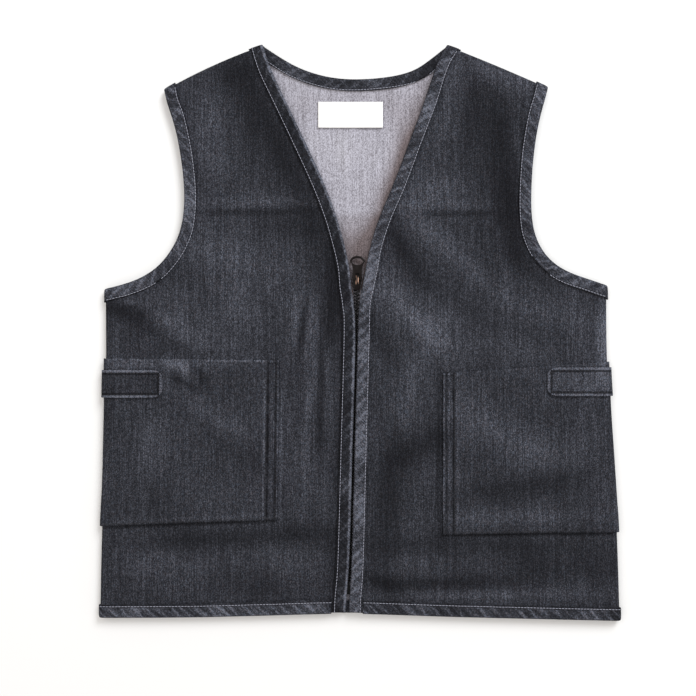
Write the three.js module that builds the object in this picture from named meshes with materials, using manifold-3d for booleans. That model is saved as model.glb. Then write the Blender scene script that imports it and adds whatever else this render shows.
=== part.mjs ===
// A child's denim vest with a zip front, zipped up and laid flat on its back.
// Millimetres, +Z up, the neck towards +Y and the wearer's left side towards +X.
//
// Every cloth piece is cut in flat pattern coordinates (x, y) and then laid on the surface of the
// front or of the back, so many millimetres off the middle of that cloth. At the side seams and the
// shoulder seams both surfaces turn through a quarter circle and meet edge to edge.

import * as THREE from 'three';
import { mergeVertices } from 'three/addons/utils/BufferGeometryUtils.js';
import Module from 'manifold-3d';

const wasm = await Module();
wasm.setup();

// Cloth and seams
const CLOTH = 1.0;
const SEAM_GAP = 0.3;
const HALF = CLOTH / 2;
const BINDING_WIDTH = 9.6;
const BINDING_FOLD = 0.7;
const BINDING_HALF = HALF + SEAM_GAP + CLOTH;
const EDGE_INSET = CLOTH + SEAM_GAP + 0.1;

// Heights of the middle of the cloth above the surface that the vest lies on
const BACK_FLAT = HALF;
const BACK_EDGE = BINDING_HALF;
const FRONT_EDGE = 3 * BINDING_HALF + SEAM_GAP;
const FRONT_SAG = 2.9;
const NECKLINE_DIP = 0.8;
const TURN_RADIUS = (FRONT_EDGE - BACK_EDGE) / 2;

// The quarter turn at a seam, in pattern coordinates
const TURN_STEPS = 3;
const TURN_LENGTH = TURN_RADIUS * Math.PI / 2 - SEAM_GAP / 2;
const TURN_OVERHANG = TURN_LENGTH - TURN_RADIUS;
const SEAM_OUTSET = TURN_OVERHANG - HALF;

// How far from an edge the cloth starts to settle, and where it has settled
const FRONT_SETTLE = { from: 12.2, to: 60 };
const BACK_SETTLE = { from: 12.2, to: 17.2 };
const ARMHOLE_LIFT = 8;

// The wearer's two sides: the column that each takes from a table, and the way to the centre
const RIGHT = { name: 'right', inward: 1 };
const LEFT = { name: 'left', inward: -1 };

// Armhole edge, a row for each station from the shoulder tip down to the side seam
const ARMHOLE = [
  { rightX: -150.6, rightY: 186.6, leftX: 144.6, leftY: 188.4 },
  { rightX: -148.4, rightY: 176.5, leftX: 142.3, leftY: 179.0 },
  { rightX: -143.4, rightY: 162.5, leftX: 138.4, leftY: 166.0 },
  { rightX: -138.0, rightY: 137.0, leftX: 134.0, leftY: 140.5 },
  { rightX: -135.1, rightY: 110.0, leftX: 131.8, leftY: 112.0 },
  { rightX: -135.6, rightY: 90.0, leftX: 131.8, leftY: 90.5 },
  { rightX: -138.8, rightY: 75.0, leftX: 134.2, leftY: 75.0 },
  { rightX: -146.6, rightY: 60.5, leftX: 142.6, leftY: 58.8 },
  { rightX: -159.4, rightY: 46.8, leftX: 156.3, leftY: 48.0 },
  { rightX: -177.0, rightY: 38.4, leftX: 174.0, leftY: 41.6 },
  { rightX: -197.2, rightY: 33.2, leftX: 191.0, leftY: 35.8 },
];

// Side seams, the outer face of the cloth at each height
const SIDE = [
  { y: -224, right: -200.2, left: 200.2 },
  { y: -170, right: -199.2, left: 198.6 },
  { y: -120, right: -197.6, left: 196.4 },
  { y: -60, right: -196.2, left: 192.4 },
  { y: -20, right: -195.6, left: 190.2 },
  { y: 60, right: -196.2, left: 189.8 },
];

// Front edges, bound all the way from the hem to the shoulder
const OPENING = [
  { y: -222, right: -11.4, left: -8.9 },
  { y: -204, right: -10.4, left: -8.2 },
  { y: -175, right: -8.2, left: -6.3 },
  { y: -90, right: -5.8, left: -4.1 },
  { y: 0, right: -3.4, left: -1.6 },
  { y: 22, right: -4.6, left: -0.9 },
  { y: 36, right: -6.7, left: 1.8 },
  { y: 50, right: -7.9, left: 4.7 },
  { y: 67, right: -11.6, left: 7.9 },
  { y: 90, right: -18.2, left: 15.3 },
  { y: 115, right: -27.6, left: 26.1 },
  { y: 147, right: -42.2, left: 38.0 },
  { y: 178, right: -57.0, left: 49.7 },
  { y: 200, right: -67.6, left: 56.7 },
  { y: 212, right: -72.0, left: 61.6 },
  { y: 224, right: -75.4, left: 68.8 },
];

// Neck edge of the back, and the hem
const BACK_NECK = [
  { x: -75.0, y: 221.4 },
  { x: -64.7, y: 214.4 },
  { x: -47.7, y: 204.4 },
  { x: -23.1, y: 196.9 },
  { x: 0.0, y: 195.5 },
  { x: 30.8, y: 198.8 },
  { x: 46.2, y: 204.2 },
  { x: 59.3, y: 215.2 },
  { x: 67.4, y: 221.0 },
];
const HEM = [
  { x: -202, y: -219.4 },
  { x: -128, y: -219.0 },
  { x: -71, y: -217.6 },
  { x: -8, y: -216.2 },
  { x: 70, y: -218.6 },
  { x: 202, y: -221.8 },
];

// Shoulder seams run from the neck to the tip of the armhole with a slight crown
const NECK_POINT = { right: new THREE.Vector2(-74.6, 221.2), left: new THREE.Vector2(67.2, 220.8) };
const SHOULDER_CROWN = { right: 1.9, left: 0.6 };

// Where the fronts' rows change from the side seam to the armhole
const UNDERARM_ROW_AT_OPENING = 30;

// The largest folds of the fronts: middle, direction in degrees, half length, half width and height
const FOLDS = [
  { x: -97, y: 95, turn: 2, long: 55, wide: 9, high: 1.0 },
  { x: -92, y: 76, turn: 4, long: 48, wide: 10, high: -0.7 },
  { x: -125, y: 150, turn: 72, long: 40, wide: 13, high: 0.8 },
  { x: -76, y: 150, turn: -62, long: 60, wide: 13, high: -0.8 },
  { x: -95, y: 47, turn: 12, long: 50, wide: 15, high: 1.1 },
  { x: -150, y: 6, turn: -28, long: 45, wide: 11, high: -1.0 },
  { x: -150, y: 24, turn: -14, long: 45, wide: 9, high: 0.9 },
  { x: -45, y: 2, turn: 84, long: 42, wide: 7, high: 1.0 },
  { x: -32, y: -60, turn: 88, long: 60, wide: 8, high: 0.9 },
  { x: -120, y: -80, turn: -20, long: 60, wide: 20, high: 0.8 },
  { x: -110, y: -178, turn: 3, long: 80, wide: 14, high: -0.7 },
  { x: 80, y: 92, turn: -2, long: 48, wide: 9, high: 0.9 },
  { x: 62, y: 66, turn: -58, long: 50, wide: 11, high: 1.2 },
  { x: 44, y: 60, turn: -62, long: 45, wide: 9, high: -0.9 },
  { x: 42, y: 8, turn: -52, long: 50, wide: 12, high: 1.1 },
  { x: 112, y: 130, turn: 96, long: 60, wide: 13, high: -1.0 },
  { x: 118, y: 40, turn: -30, long: 42, wide: 14, high: 0.8 },
  { x: 34, y: -100, turn: 70, long: 60, wide: 13, high: 0.9 },
  { x: 130, y: -125, turn: 12, long: 60, wide: 18, high: -0.8 },
  { x: 110, y: -186, turn: 6, long: 75, wide: 10, high: -0.8 },
  { x: 95, y: -170, turn: 4, long: 80, wide: 10, high: 0.8 },
];

// Patch pockets: corners in pattern coordinates, and the turned allowances that thicken their edges
const POCKET = {
  right: { top: { side: -20.0, inner: -21.5 }, bottom: { side: -148.8, inner: -144.5 }, edgeX: [-62.5, -64.0] },
  left: { top: { side: -22.5, inner: -31.2 }, bottom: { side: -153.4, inner: -156.0 }, edgeX: [63.8, 63.8] },
};
const POCKET_HEM = 14.5;
const POCKET_STRIP = 10.0;
const POCKET_FOOT = 11.0;
const ALLOWANCE = 0.6;

// Tabs over the pockets
const TAB = {
  right: { top: -28.9, bottom: -50.0, endX: -152.0 },
  left: { top: -26.8, bottom: -48.8, endX: 144.2 },
};
const TAB_CORNER = 4;

const LABEL = { left: -32.3, right: 17.7, top: 178.2, bottom: 158.2 };

// Zip
const TAPE = { bottom: 2.4, reach: 12.5, topY: 58, endY: -202, cover: 0.8 };
const CHAIN = { bottom: 2.2, height: 1.4, halfWidth: 2.4, topY: 38, endY: -194.6 };
const BOX_LENGTH = 7;
const SLIDER = {
  noseY: 46.5, tailY: 32.7, centreX: -2.3, noseWidth: 7.4, tailWidth: 4.8,
  floor: 1.3, plate: 0.6, topPlate: 3.9, topThickness: 0.8, cornerRadius: 1.4,
};
const POST = { width: 1.8, length: 3.4 };
const BRIDGE = { width: 1.6, halfSpan: 2.7, foot: 1.1, inside: 1.35, bar: 0.9 };
const PIVOT = { x: -1.9, y: 41.0, z: SLIDER.topPlate + SLIDER.topThickness + 1.4 };
const PULL = {
  length: 18.0, thickness: 1.4, neckWidth: 7.0, ringWidth: 11.6, ringHeight: 8.8,
  holeWidth: 8.6, holeHeight: 5.4, slotWidth: 2.8, slotEnd: 4.4, restTilt: -5,
};

const DENIM = { color: '#3b3c45', roughness: 0.92, metalness: 0 };
const BINDING_DENIM = { color: '#474852', roughness: 0.92, metalness: 0 };
const WRONG_SIDE = { color: '#a5a5b0', roughness: 0.95, metalness: 0 };
const LABEL_WEAVE = { color: '#f6f5f2', roughness: 0.8, metalness: 0 };
const TAPE_WEAVE = { color: '#4d423d', roughness: 0.9, metalness: 0 };
const DARK_METAL = { color: '#1c1c20', roughness: 0.4, metalness: 0.85 };

// Smooth step from 0 to 1 between two values
function ease(value, from, to) {
  const t = THREE.MathUtils.clamp((value - from) / (to - from), 0, 1);
  return t * t * (3 - 2 * t);
}

// Value of one column of a table at a value of another, by a smooth curve through the rows
function lookUp(rows, from, column, at) {
  const last = rows.length - 1;
  let i = 0;
  while (i < last - 1 && at > rows[i + 1][from]) i += 1;
  const row = (k) => rows[THREE.MathUtils.clamp(k, 0, last)];
  const slope = (k) => {
    const run = row(k + 1)[from] - row(k - 1)[from];
    return (row(k + 1)[column] - row(k - 1)[column]) / run;
  };
  const span = row(i + 1)[from] - row(i)[from];
  const t = (at - row(i)[from]) / span;
  const rise = row(i + 1)[column] - row(i)[column];
  const a = slope(i) * span - rise;
  const b = rise - slope(i + 1) * span;
  return row(i)[column] + t * rise + t * (1 - t) * (a * (1 - t) + b * t);
}

const flat = (x, y) => new THREE.Vector2(x, y);
const sideX = (side, y) => lookUp(SIDE, 'y', side.name, y);
const openingX = (side, y) => lookUp(OPENING, 'y', side.name, y);
const hemY = (x) => lookUp(HEM, 'x', 'y', x);

// Points of a curve through table rows, spaced evenly along it
function splinePoints(points, count) {
  const spline = new THREE.CatmullRomCurve3(
    points.map((p) => new THREE.Vector3(p.x, p.y, 0)), false, 'centripetal');
  return spline.getSpacedPoints(count).map((p) => flat(p.x, p.y));
}

function armholeKnots(side) {
  return ARMHOLE.map((row) => flat(row[`${side.name}X`], row[`${side.name}Y`]));
}

// Distances in from a seam at which its turn is stepped, and the one just past a binding
const turnStops = Array.from({ length: TURN_STEPS + 1 }, (_, k) => TURN_LENGTH * k / TURN_STEPS);
const BAND_STOP = BACK_SETTLE.from - EDGE_INSET;
const SETTLED_STOP = BACK_SETTLE.to - EDGE_INSET;
const seamStops = [...turnStops, BAND_STOP];
const backStops = [...turnStops, BAND_STOP, SETTLED_STOP];

// Positions from 0 to 1 along a length: stops near its start, even steps, and stops near its end
function spread(length, count, startStops = [0], endStops = [0]) {
  const from = startStops.at(-1);
  const to = length - endStops.at(-1);
  const places = [...startStops];
  for (let k = 1; k < count; k += 1) places.push(from + (to - from) * k / count);
  places.push(...endStops.map((stop) => length - stop).reverse());
  return places.map((place) => place / length);
}

// A polyline that can be read at any fraction of its length
class Route {
  constructor(points) {
    this.points = points;
    this.lengths = [0];
    for (let i = 1; i < points.length; i += 1) {
      this.lengths.push(this.lengths[i - 1] + points[i].distanceTo(points[i - 1]));
    }
    this.length = this.lengths[this.lengths.length - 1];
  }

  at(fraction) {
    const reach = THREE.MathUtils.clamp(fraction, 0, 1) * this.length;
    let i = 1;
    while (i < this.points.length - 1 && this.lengths[i] < reach) i += 1;
    const t = (reach - this.lengths[i - 1]) / (this.lengths[i] - this.lengths[i - 1]);
    return this.points[i - 1].clone().lerp(this.points[i], t);
  }

  // Unit vector across the route, turned a quarter turn to the left of its direction
  across(fraction) {
    const reach = 2 / this.length;
    const ahead = this.at(fraction + reach);
    const behind = this.at(fraction - reach);
    const along = ahead.sub(behind).normalize();
    return flat(-along.y, along.x);
  }

  distanceTo(x, y) {
    let nearest = Infinity;
    for (let i = 1; i < this.points.length; i += 1) {
      const a = this.points[i - 1];
      const b = this.points[i];
      const dx = b.x - a.x;
      const dy = b.y - a.y;
      const t = THREE.MathUtils.clamp(((x - a.x) * dx + (y - a.y) * dy) / (dx * dx + dy * dy), 0, 1);
      nearest = Math.min(nearest, Math.hypot(x - a.x - t * dx, y - a.y - t * dy));
    }
    return nearest;
  }
}

// Shoulder seam of one side, from the armhole's tip to the neck, crowned outwards
function shoulderRoute(side) {
  const tip = armholeKnots(side)[0];
  const neck = NECK_POINT[side.name];
  const outward = flat(tip.y - neck.y, neck.x - tip.x).normalize().multiplyScalar(side.inward);
  if (outward.y < 0) outward.negate();
  const points = [];
  const steps = 12;
  for (let i = 0; i <= steps; i += 1) {
    const t = i / steps;
    const crown = 4 * t * (1 - t) * SHOULDER_CROWN[side.name];
    points.push(tip.clone().lerp(neck, t).addScaledVector(outward, crown));
  }
  return new Route(points);
}

const armhole = {};
const shoulder = {};
const opening = {};
for (const side of [RIGHT, LEFT]) {
  armhole[side.name] = new Route(splinePoints(armholeKnots(side), 60));
  shoulder[side.name] = shoulderRoute(side);
  const bottomY = hemY(openingX(side, HEM[0].y));
  const points = [];
  const steps = 90;
  for (let i = 0; i <= steps; i += 1) {
    const y = THREE.MathUtils.lerp(bottomY, NECK_POINT[side.name].y, i / steps);
    points.push(flat(openingX(side, y), y));
  }
  opening[side.name] = new Route(points);
}
const hem = new Route(HEM.map((row) => flat(row.x, row.y)));
const backNeck = new Route(splinePoints(BACK_NECK, 40));
const sideRoute = (side) => new Route(SIDE.map((row) => flat(row[side.name], row.y)));
const sideSeam = { right: sideRoute(RIGHT), left: sideRoute(LEFT) };

// Height of the middle of the fronts' cloth at a point of the plan
function frontHeight(side, x, y) {
  const toOpening = opening[side.name].distanceTo(x, y);
  const edges = [armhole[side.name], shoulder[side.name], hem, sideSeam[side.name]];
  const toEdge = Math.min(toOpening, ...edges.map((edge) => edge.distanceTo(x, y)));
  const settled = ease(toEdge, FRONT_SETTLE.from, FRONT_SETTLE.to);
  const neckline = ease(y, 66, 110) * (1 - ease(y, 150, 190));
  const dip = NECKLINE_DIP * neckline * (1 - ease(toOpening, 0, 60));
  const low = 1 - (1 - settled) * (1 - dip);
  let height = FRONT_EDGE - FRONT_SAG * low;
  for (const fold of FOLDS) {
    if (Math.sign(fold.x) === side.inward) continue;
    const angle = THREE.MathUtils.degToRad(fold.turn);
    const dx = x - fold.x;
    const dy = y - fold.y;
    const along = (dx * Math.cos(angle) + dy * Math.sin(angle)) / fold.long;
    const across = (dy * Math.cos(angle) - dx * Math.sin(angle)) / fold.wide;
    height += settled * fold.high * Math.exp(-(along ** 4) - across * across);
  }
  return height;
}

// Height of the middle of the back's cloth: flat, and lifted by its binding and seams at the edges
function backHeight(x, y) {
  const edges = [shoulder.right, shoulder.left, hem, backNeck, sideSeam.right, sideSeam.left];
  const toArmhole = Math.min(armhole.right.distanceTo(x, y), armhole.left.distanceTo(x, y));
  const toEdge = Math.min(toArmhole - ARMHOLE_LIFT, ...edges.map((edge) => edge.distanceTo(x, y)));
  const settled = ease(toEdge, BACK_SETTLE.from, BACK_SETTLE.to);
  return BACK_EDGE + (BACK_FLAT - BACK_EDGE) * settled;
}

// How far a pattern point lies inside the middle line of the cloth at a seam, and the way in
function seamTurn(side, p) {
  const slant = (sideX(side, p.y + 1) - sideX(side, p.y - 1)) / 2;
  const inFromSide = flat(side.inward, -side.inward * slant).normalize();
  const fromSide = (p.x - sideX(side, p.y)) * side.inward * Math.abs(inFromSide.x) - HALF;
  const route = shoulder[side.name];
  const down = route.points[route.points.length - 1].clone().sub(route.points[0]).normalize();
  const inFromShoulder = flat(down.y, -down.x);
  if (inFromShoulder.y > 0) inFromShoulder.negate();
  const reach = p.clone().sub(route.points[0]).dot(down) / route.points[0].distanceTo(route.points.at(-1));
  const crown = 4 * reach * (1 - reach) * SHOULDER_CROWN[side.name];
  const fromShoulder = p.clone().sub(route.points[0]).dot(inFromShoulder) + crown - HALF;
  if (fromShoulder < fromSide) return { distance: fromShoulder, inward: inFromShoulder };
  return { distance: fromSide, inward: inFromSide };
}

// A surface lays a pattern point in space, a distance off the middle of the cloth towards the outside
function surface(heightAt, up, sideAt) {
  return (p, off) => {
    const turn = seamTurn(sideAt(p), p);
    const turned = Math.min(turn.distance - TURN_RADIUS, 0);
    const angle = Math.max(turned, -TURN_LENGTH) / TURN_RADIUS + Math.PI / 2;
    const x = p.x - turned * turn.inward.x;
    const y = p.y - turned * turn.inward.y;
    const height = heightAt(x, y);
    if (turned < 0) {
      const back = (TURN_RADIUS + off) * Math.cos(angle);
      const z = height - up * TURN_RADIUS + up * (TURN_RADIUS + off) * Math.sin(angle);
      return new THREE.Vector3(x - back * turn.inward.x, y - back * turn.inward.y, z);
    }
    const probe = 0.5;
    const slopeX = (heightAt(x + probe, y) - heightAt(x - probe, y)) / (2 * probe);
    const slopeY = (heightAt(x, y + probe) - heightAt(x, y - probe)) / (2 * probe);
    const normal = new THREE.Vector3(-slopeX, -slopeY, 1).normalize();
    return new THREE.Vector3(x, y, height).addScaledVector(normal, up * off);
  };
}

const onFront = {
  right: surface((x, y) => frontHeight(RIGHT, x, y), 1, () => RIGHT),
  left: surface((x, y) => frontHeight(LEFT, x, y), 1, () => LEFT),
};
const onBack = surface(backHeight, -1, (p) => (p.x < 0 ? RIGHT : LEFT));

// Closed mesh from vertices and triangles, its faces turned outwards
function solid(vertices, triangles) {
  let volume = 0;
  for (const [a, b, c] of triangles) {
    const cross = new THREE.Vector3().crossVectors(vertices[b], vertices[c]);
    volume += vertices[a].dot(cross);
  }
  const index = triangles.flatMap(([a, b, c]) => (volume < 0 ? [a, c, b] : [a, b, c]));
  const geometry = new THREE.BufferGeometry();
  const positions = vertices.flatMap((v) => [v.x, v.y, v.z]);
  geometry.setAttribute('position', new THREE.Float32BufferAttribute(positions, 3));
  geometry.setIndex(index);
  return geometry;
}

// Rows and columns of points filled in between four edges of a panel
function fillPanel(bottom, top, start, end) {
  const share = (a, b) => {
    const first = new Route(a);
    const second = new Route(b);
    return first.lengths.map((l, i) => (l / first.length + second.lengths[i] / second.length) / 2);
  };
  const us = share(bottom, top);
  const vs = share(start, end);
  return vs.map((v, j) => us.map((u, i) => {
    const p = bottom[i].clone().multiplyScalar(1 - v).addScaledVector(top[i], v);
    p.addScaledVector(start[j], 1 - u).addScaledVector(end[j], u);
    p.addScaledVector(bottom[0], -(1 - u) * (1 - v)).addScaledVector(bottom.at(-1), -u * (1 - v));
    return p.addScaledVector(top[0], -(1 - u) * v).addScaledVector(top.at(-1), -u * v);
  }));
}

// Cloth wall over a grid of pattern points, between an inner and an outer height off the surface
function wall(grid, place, inner, outer) {
  const rows = grid.length;
  const columns = grid[0].length;
  const vertices = [];
  const height = (value, p, j, i) => (typeof value === 'function' ? value(p, j, i) : value);
  for (const value of [inner, outer]) {
    grid.forEach((row, j) => row.forEach((p, i) => vertices.push(place(p, height(value, p, j, i)))));
  }
  const layer = rows * columns;
  const at = (j, i) => j * columns + i;
  const triangles = [];
  for (let j = 0; j < rows - 1; j += 1) {
    for (let i = 0; i < columns - 1; i += 1) {
      const quad = [at(j, i), at(j, i + 1), at(j + 1, i + 1), at(j + 1, i)];
      triangles.push([quad[0], quad[2], quad[1]], [quad[0], quad[3], quad[2]]);
      const [a, b, c, d] = quad.map((k) => k + layer);
      triangles.push([a, b, c], [a, c, d]);
    }
  }
  const rim = [];
  for (let i = 0; i < columns - 1; i += 1) rim.push([at(0, i), at(0, i + 1)]);
  for (let j = 0; j < rows - 1; j += 1) rim.push([at(j, columns - 1), at(j + 1, columns - 1)]);
  for (let i = columns - 1; i > 0; i -= 1) rim.push([at(rows - 1, i), at(rows - 1, i - 1)]);
  for (let j = rows - 1; j > 0; j -= 1) rim.push([at(j, 0), at(j - 1, 0)]);
  for (const [a, b] of rim) triangles.push([a, b, b + layer], [a, b + layer, a + layer]);
  return solid(vertices, triangles);
}

// Outline of a folded binding across its edge: distance in from the edge and height off the cloth
function bindingSection(width) {
  const top = BINDING_HALF;
  const slit = HALF + SEAM_GAP;
  return [
    [width, -slit], [CLOTH, -slit], [CLOTH, slit], [width, slit],
    [width, top], [BINDING_FOLD, top], [0, top - BINDING_FOLD], [0, -top + BINDING_FOLD],
    [BINDING_FOLD, -top], [width, -top],
  ];
}

// Binding folded round a bound edge, with a width at its start and at its end
function binding(edge, place, widths) {
  const vertices = [];
  const sections = edge.stations.map((fraction, k) => {
    const p = edge.route.at(fraction);
    const across = acrossEdge(edge, fraction);
    const width = THREE.MathUtils.lerp(widths[0], widths[1], k / (edge.stations.length - 1));
    return bindingSection(width).map(([inwards, off]) => {
      vertices.push(place(p.clone().addScaledVector(across, inwards), off));
      return vertices.length - 1;
    });
  });
  const count = sections[0].length;
  const triangles = [];
  for (let k = 0; k < sections.length - 1; k += 1) {
    for (let i = 0; i < count; i += 1) {
      const next = (i + 1) % count;
      const [a, b] = [sections[k][i], sections[k][next]];
      const [c, d] = [sections[k + 1][next], sections[k + 1][i]];
      triangles.push([a, b, c], [a, c, d]);
    }
  }
  const outline = bindingSection(widths[0]).map(([inwards, off]) => flat(inwards, off));
  const last = sections.at(-1);
  for (const [a, b, c] of THREE.ShapeUtils.triangulateShape(outline, [])) {
    triangles.push([sections[0][a], sections[0][c], sections[0][b]]);
    triangles.push([last[a], last[b], last[c]]);
  }
  return solid(vertices, triangles);
}

const vest = new THREE.Group();

function add(name, geometry, finish) {
  const mesh = new THREE.Mesh(geometry, new THREE.MeshStandardMaterial(finish));
  mesh.name = name;
  mesh.material.name = name;
  vest.add(mesh);
  return mesh;
}

// A pattern point moved across the shoulder seam's edge, where the two cloths meet
function seamEnd(side, p) {
  const turn = seamTurn(side, p);
  return p.clone().addScaledVector(turn.inward, -TURN_OVERHANG - turn.distance);
}

// The side seam's edge of a pattern at a height
const seamPoint = (side, y) => flat(sideX(side, y) - SEAM_OUTSET * side.inward, y);

// Directions along the seams, in which the bindings that end there are cut
const downSideSeam = flat(0, -1);
function alongShoulder(side, towardsNeck) {
  const { points } = shoulder[side.name];
  const [from, to] = towardsNeck ? [points[0], points[1]] : [points.at(-1), points.at(-2)];
  return to.clone().sub(from).normalize();
}

// A bound edge: its route with both ends drawn out to the seams, the stations along it that the
// panel and the binding share, the side that the cloth is on, and the seams' directions at its ends
function boundEdge(points, stations, inward, ends) {
  const route = new Route(points);
  return { route, stations: stations(route.length), inward, ends };
}

const ARMHOLE_STEPS = 12;
function armholeEdge(side) {
  const points = armhole[side.name].points.slice();
  points[0] = seamEnd(side, points[0]);
  points[points.length - 1] = seamPoint(side, points.at(-1).y);
  const ends = { start: alongShoulder(side, true), end: downSideSeam };
  return boundEdge(points, (l) => spread(l, ARMHOLE_STEPS, backStops, turnStops), side.inward, ends);
}

// Direction across a bound edge at one of its stations, turned to lie along the seam at its ends
function acrossEdge(edge, fraction) {
  const turnOver = 22;
  const square = edge.route.across(fraction).multiplyScalar(edge.inward);
  const across = square.clone();
  const toStart = fraction * edge.route.length;
  const toEnd = (1 - fraction) * edge.route.length;
  const { start, end } = edge.ends;
  if (start) across.lerp(start, 1 - ease(toStart, 0, turnOver)).normalize();
  if (end) across.lerp(end, 1 - ease(toEnd, 0, turnOver)).normalize();
  return across.divideScalar(across.dot(square));
}

const insetPoint = (edge, fraction) => edge.route.at(fraction)
  .addScaledVector(acrossEdge(edge, fraction), EDGE_INSET);

// Height of a pocket's foot or top line where it would meet the side seam and the front edge
function pocketLine(side, end, up) {
  const cut = POCKET[side.name];
  const innerX = end === 'top' ? cut.edgeX[0] : cut.edgeX[1];
  const atSide = cut[end].side + up;
  const outerX = sideX(side, atSide);
  const slope = (cut[end].inner - cut[end].side) / (innerX - outerX);
  return { atSide, atOpening: atSide + slope * (openingX(side, atSide) - outerX) };
}

// Rows of a front from the hem to the underarm: heights at the side seam and at the front edge
const ROW_COUNTS = [3, 6, 3];
function frontRows(side, cornerY) {
  const hemSide = hemY(seamPoint(side, HEM[0].y).x) + EDGE_INSET;
  const hemOpening = hemY(openingX(side, HEM[0].y)) + EDGE_INSET;
  const lines = [
    { atSide: hemSide, atOpening: hemOpening },
    { atSide: hemSide + BAND_STOP, atOpening: hemOpening + BAND_STOP },
    pocketLine(side, 'bottom', 0),
    pocketLine(side, 'bottom', POCKET_FOOT),
    pocketLine(side, 'top', -POCKET_HEM),
    pocketLine(side, 'top', 0),
    { atSide: cornerY - BAND_STOP, atOpening: UNDERARM_ROW_AT_OPENING - BAND_STOP },
    { atSide: cornerY, atOpening: UNDERARM_ROW_AT_OPENING },
  ];
  const rows = [];
  lines.slice(1).forEach((line, k) => {
    const before = lines[k];
    const count = k % 2 === 1 ? ROW_COUNTS[(k - 1) / 2] : 1;
    for (let i = 0; i < count; i += 1) {
      const t = i / count;
      rows.push({
        atSide: THREE.MathUtils.lerp(before.atSide, line.atSide, t),
        atOpening: THREE.MathUtils.lerp(before.atOpening, line.atOpening, t),
      });
    }
  });
  return rows;
}

// The front edge of a side: stations at the panel's rows up to the underarm, then on to the shoulder
function openingEdge(side) {
  const points = opening[side.name].points.slice();
  points[points.length - 1] = seamEnd(side, points.at(-1));
  const route = new Route(points);
  const fractionAt = (y) => {
    let k = 1;
    while (k < points.length - 1 && points[k].y < y) k += 1;
    const t = (y - points[k - 1].y) / (points[k].y - points[k - 1].y);
    return THREE.MathUtils.lerp(route.lengths[k - 1], route.lengths[k], t) / route.length;
  };
  const cornerY = insetPoint(armholeEdge(side), 1).y;
  const lower = frontRows(side, cornerY).map((row) => fractionAt(row.atOpening));
  const underarm = fractionAt(UNDERARM_ROW_AT_OPENING);
  const upper = route.length * (1 - underarm);
  const rest = spread(upper, ARMHOLE_STEPS, turnStops, backStops);
  const stations = [...lower, ...rest.map((place) => underarm + (1 - underarm) * place)];
  return { route, stations, inward: side.inward, ends: { end: alongShoulder(side, false) } };
}

// Pattern points of a front: straight rows from its outer border to its front edge
const POCKET_COLUMNS = 7;
const PLACKET_COLUMNS = 3;
function frontGrid(side) {
  const arm = armholeEdge(side);
  const edge = openingEdge(side);
  const rows = frontRows(side, insetPoint(arm, 1).y);
  const start = rows.map((row) => seamPoint(side, row.atSide));
  const upwards = arm.stations.slice().reverse();
  start.push(...upwards.map((fraction) => insetPoint(arm, fraction)));
  const end = edge.stations.map((fraction) => insetPoint(edge, fraction));
  const last = start.length - 1;
  start[last] = seamEnd(side, start[last]);
  end[last] = seamEnd(side, end[last]);
  const cut = POCKET[side.name];
  return start.map((from, j) => {
    const to = end[j];
    const height = THREE.MathUtils.clamp((from.y - cut.bottom.side) / (cut.top.side - cut.bottom.side), 0, 1);
    const edgeX = THREE.MathUtils.lerp(cut.edgeX[1], cut.edgeX[0], height);
    const upperShare = 0.72;
    const share = (edgeX - from.x) / (to.x - from.x);
    const up = ease(j, rows.length - 4, rows.length + 6);
    const width = from.distanceTo(to);
    const middle = width * THREE.MathUtils.lerp(share, upperShare, up);
    const strip = middle - POCKET_STRIP * middle / (width * share);
    const places = spread(strip, POCKET_COLUMNS, seamStops).map((place) => place * strip / width);
    const beyond = spread(width - middle, PLACKET_COLUMNS, [0], [0, BAND_STOP]);
    places.push(...beyond.map((place) => (middle + place * (width - middle)) / width));
    return places.map((place) => frontPoint(side, from, to, place, j, last));
  });
}

// A point of a front's row, bent to the hem in the lowest rows and to the shoulder's crown at the top
function frontPoint(side, from, to, place, row, last) {
  const p = from.clone().lerp(to, place);
  if (row < 2) return flat(p.x, hemY(p.x) + EDGE_INSET + (row === 0 ? 0 : BAND_STOP));
  const seamRows = TURN_STEPS + 1;
  const upTo = last - seamRows - 4;
  const crown = 4 * place * (1 - place) * SHOULDER_CROWN[side.name] * ease(row, upTo, last - seamRows + 1);
  return p.addScaledVector(seamTurn(side, to).inward, -crown);
}

const frontGrids = { right: frontGrid(RIGHT), left: frontGrid(LEFT) };

function frontPanel(side) {
  add(`${side.name}_front`, wall(frontGrids[side.name], onFront[side.name], -HALF, HALF), DENIM);
}

const NECK_STEPS = 11;
function neckEdge() {
  const points = backNeck.points.slice();
  points[0] = seamEnd(RIGHT, points[0]);
  points[points.length - 1] = seamEnd(LEFT, points.at(-1));
  const ends = { start: alongShoulder(RIGHT, false), end: alongShoulder(LEFT, false) };
  return boundEdge(points, (l) => spread(l, NECK_STEPS, turnStops, turnStops), -1, ends);
}

// Outer border of the back's pattern on one side: up the side seam, then up the armhole
const BACK_SEAM_STEPS = 6;
function backBorder(side) {
  const arm = armholeEdge(side);
  const corner = seamPoint(side, insetPoint(arm, 1).y);
  const bottom = hemY(seamPoint(side, HEM[0].y).x) + EDGE_INSET;
  const lifted = [0, BAND_STOP, SETTLED_STOP];
  const places = spread(corner.y - bottom, BACK_SEAM_STEPS, lifted, [0, BAND_STOP]);
  const points = places.slice(0, -1).map((place) => seamPoint(side, THREE.MathUtils.lerp(bottom, corner.y, place)));
  points.push(...arm.stations.slice().reverse().map((fraction) => insetPoint(arm, fraction)));
  points[points.length - 1] = seamEnd(side, points.at(-1));
  return points;
}

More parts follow.
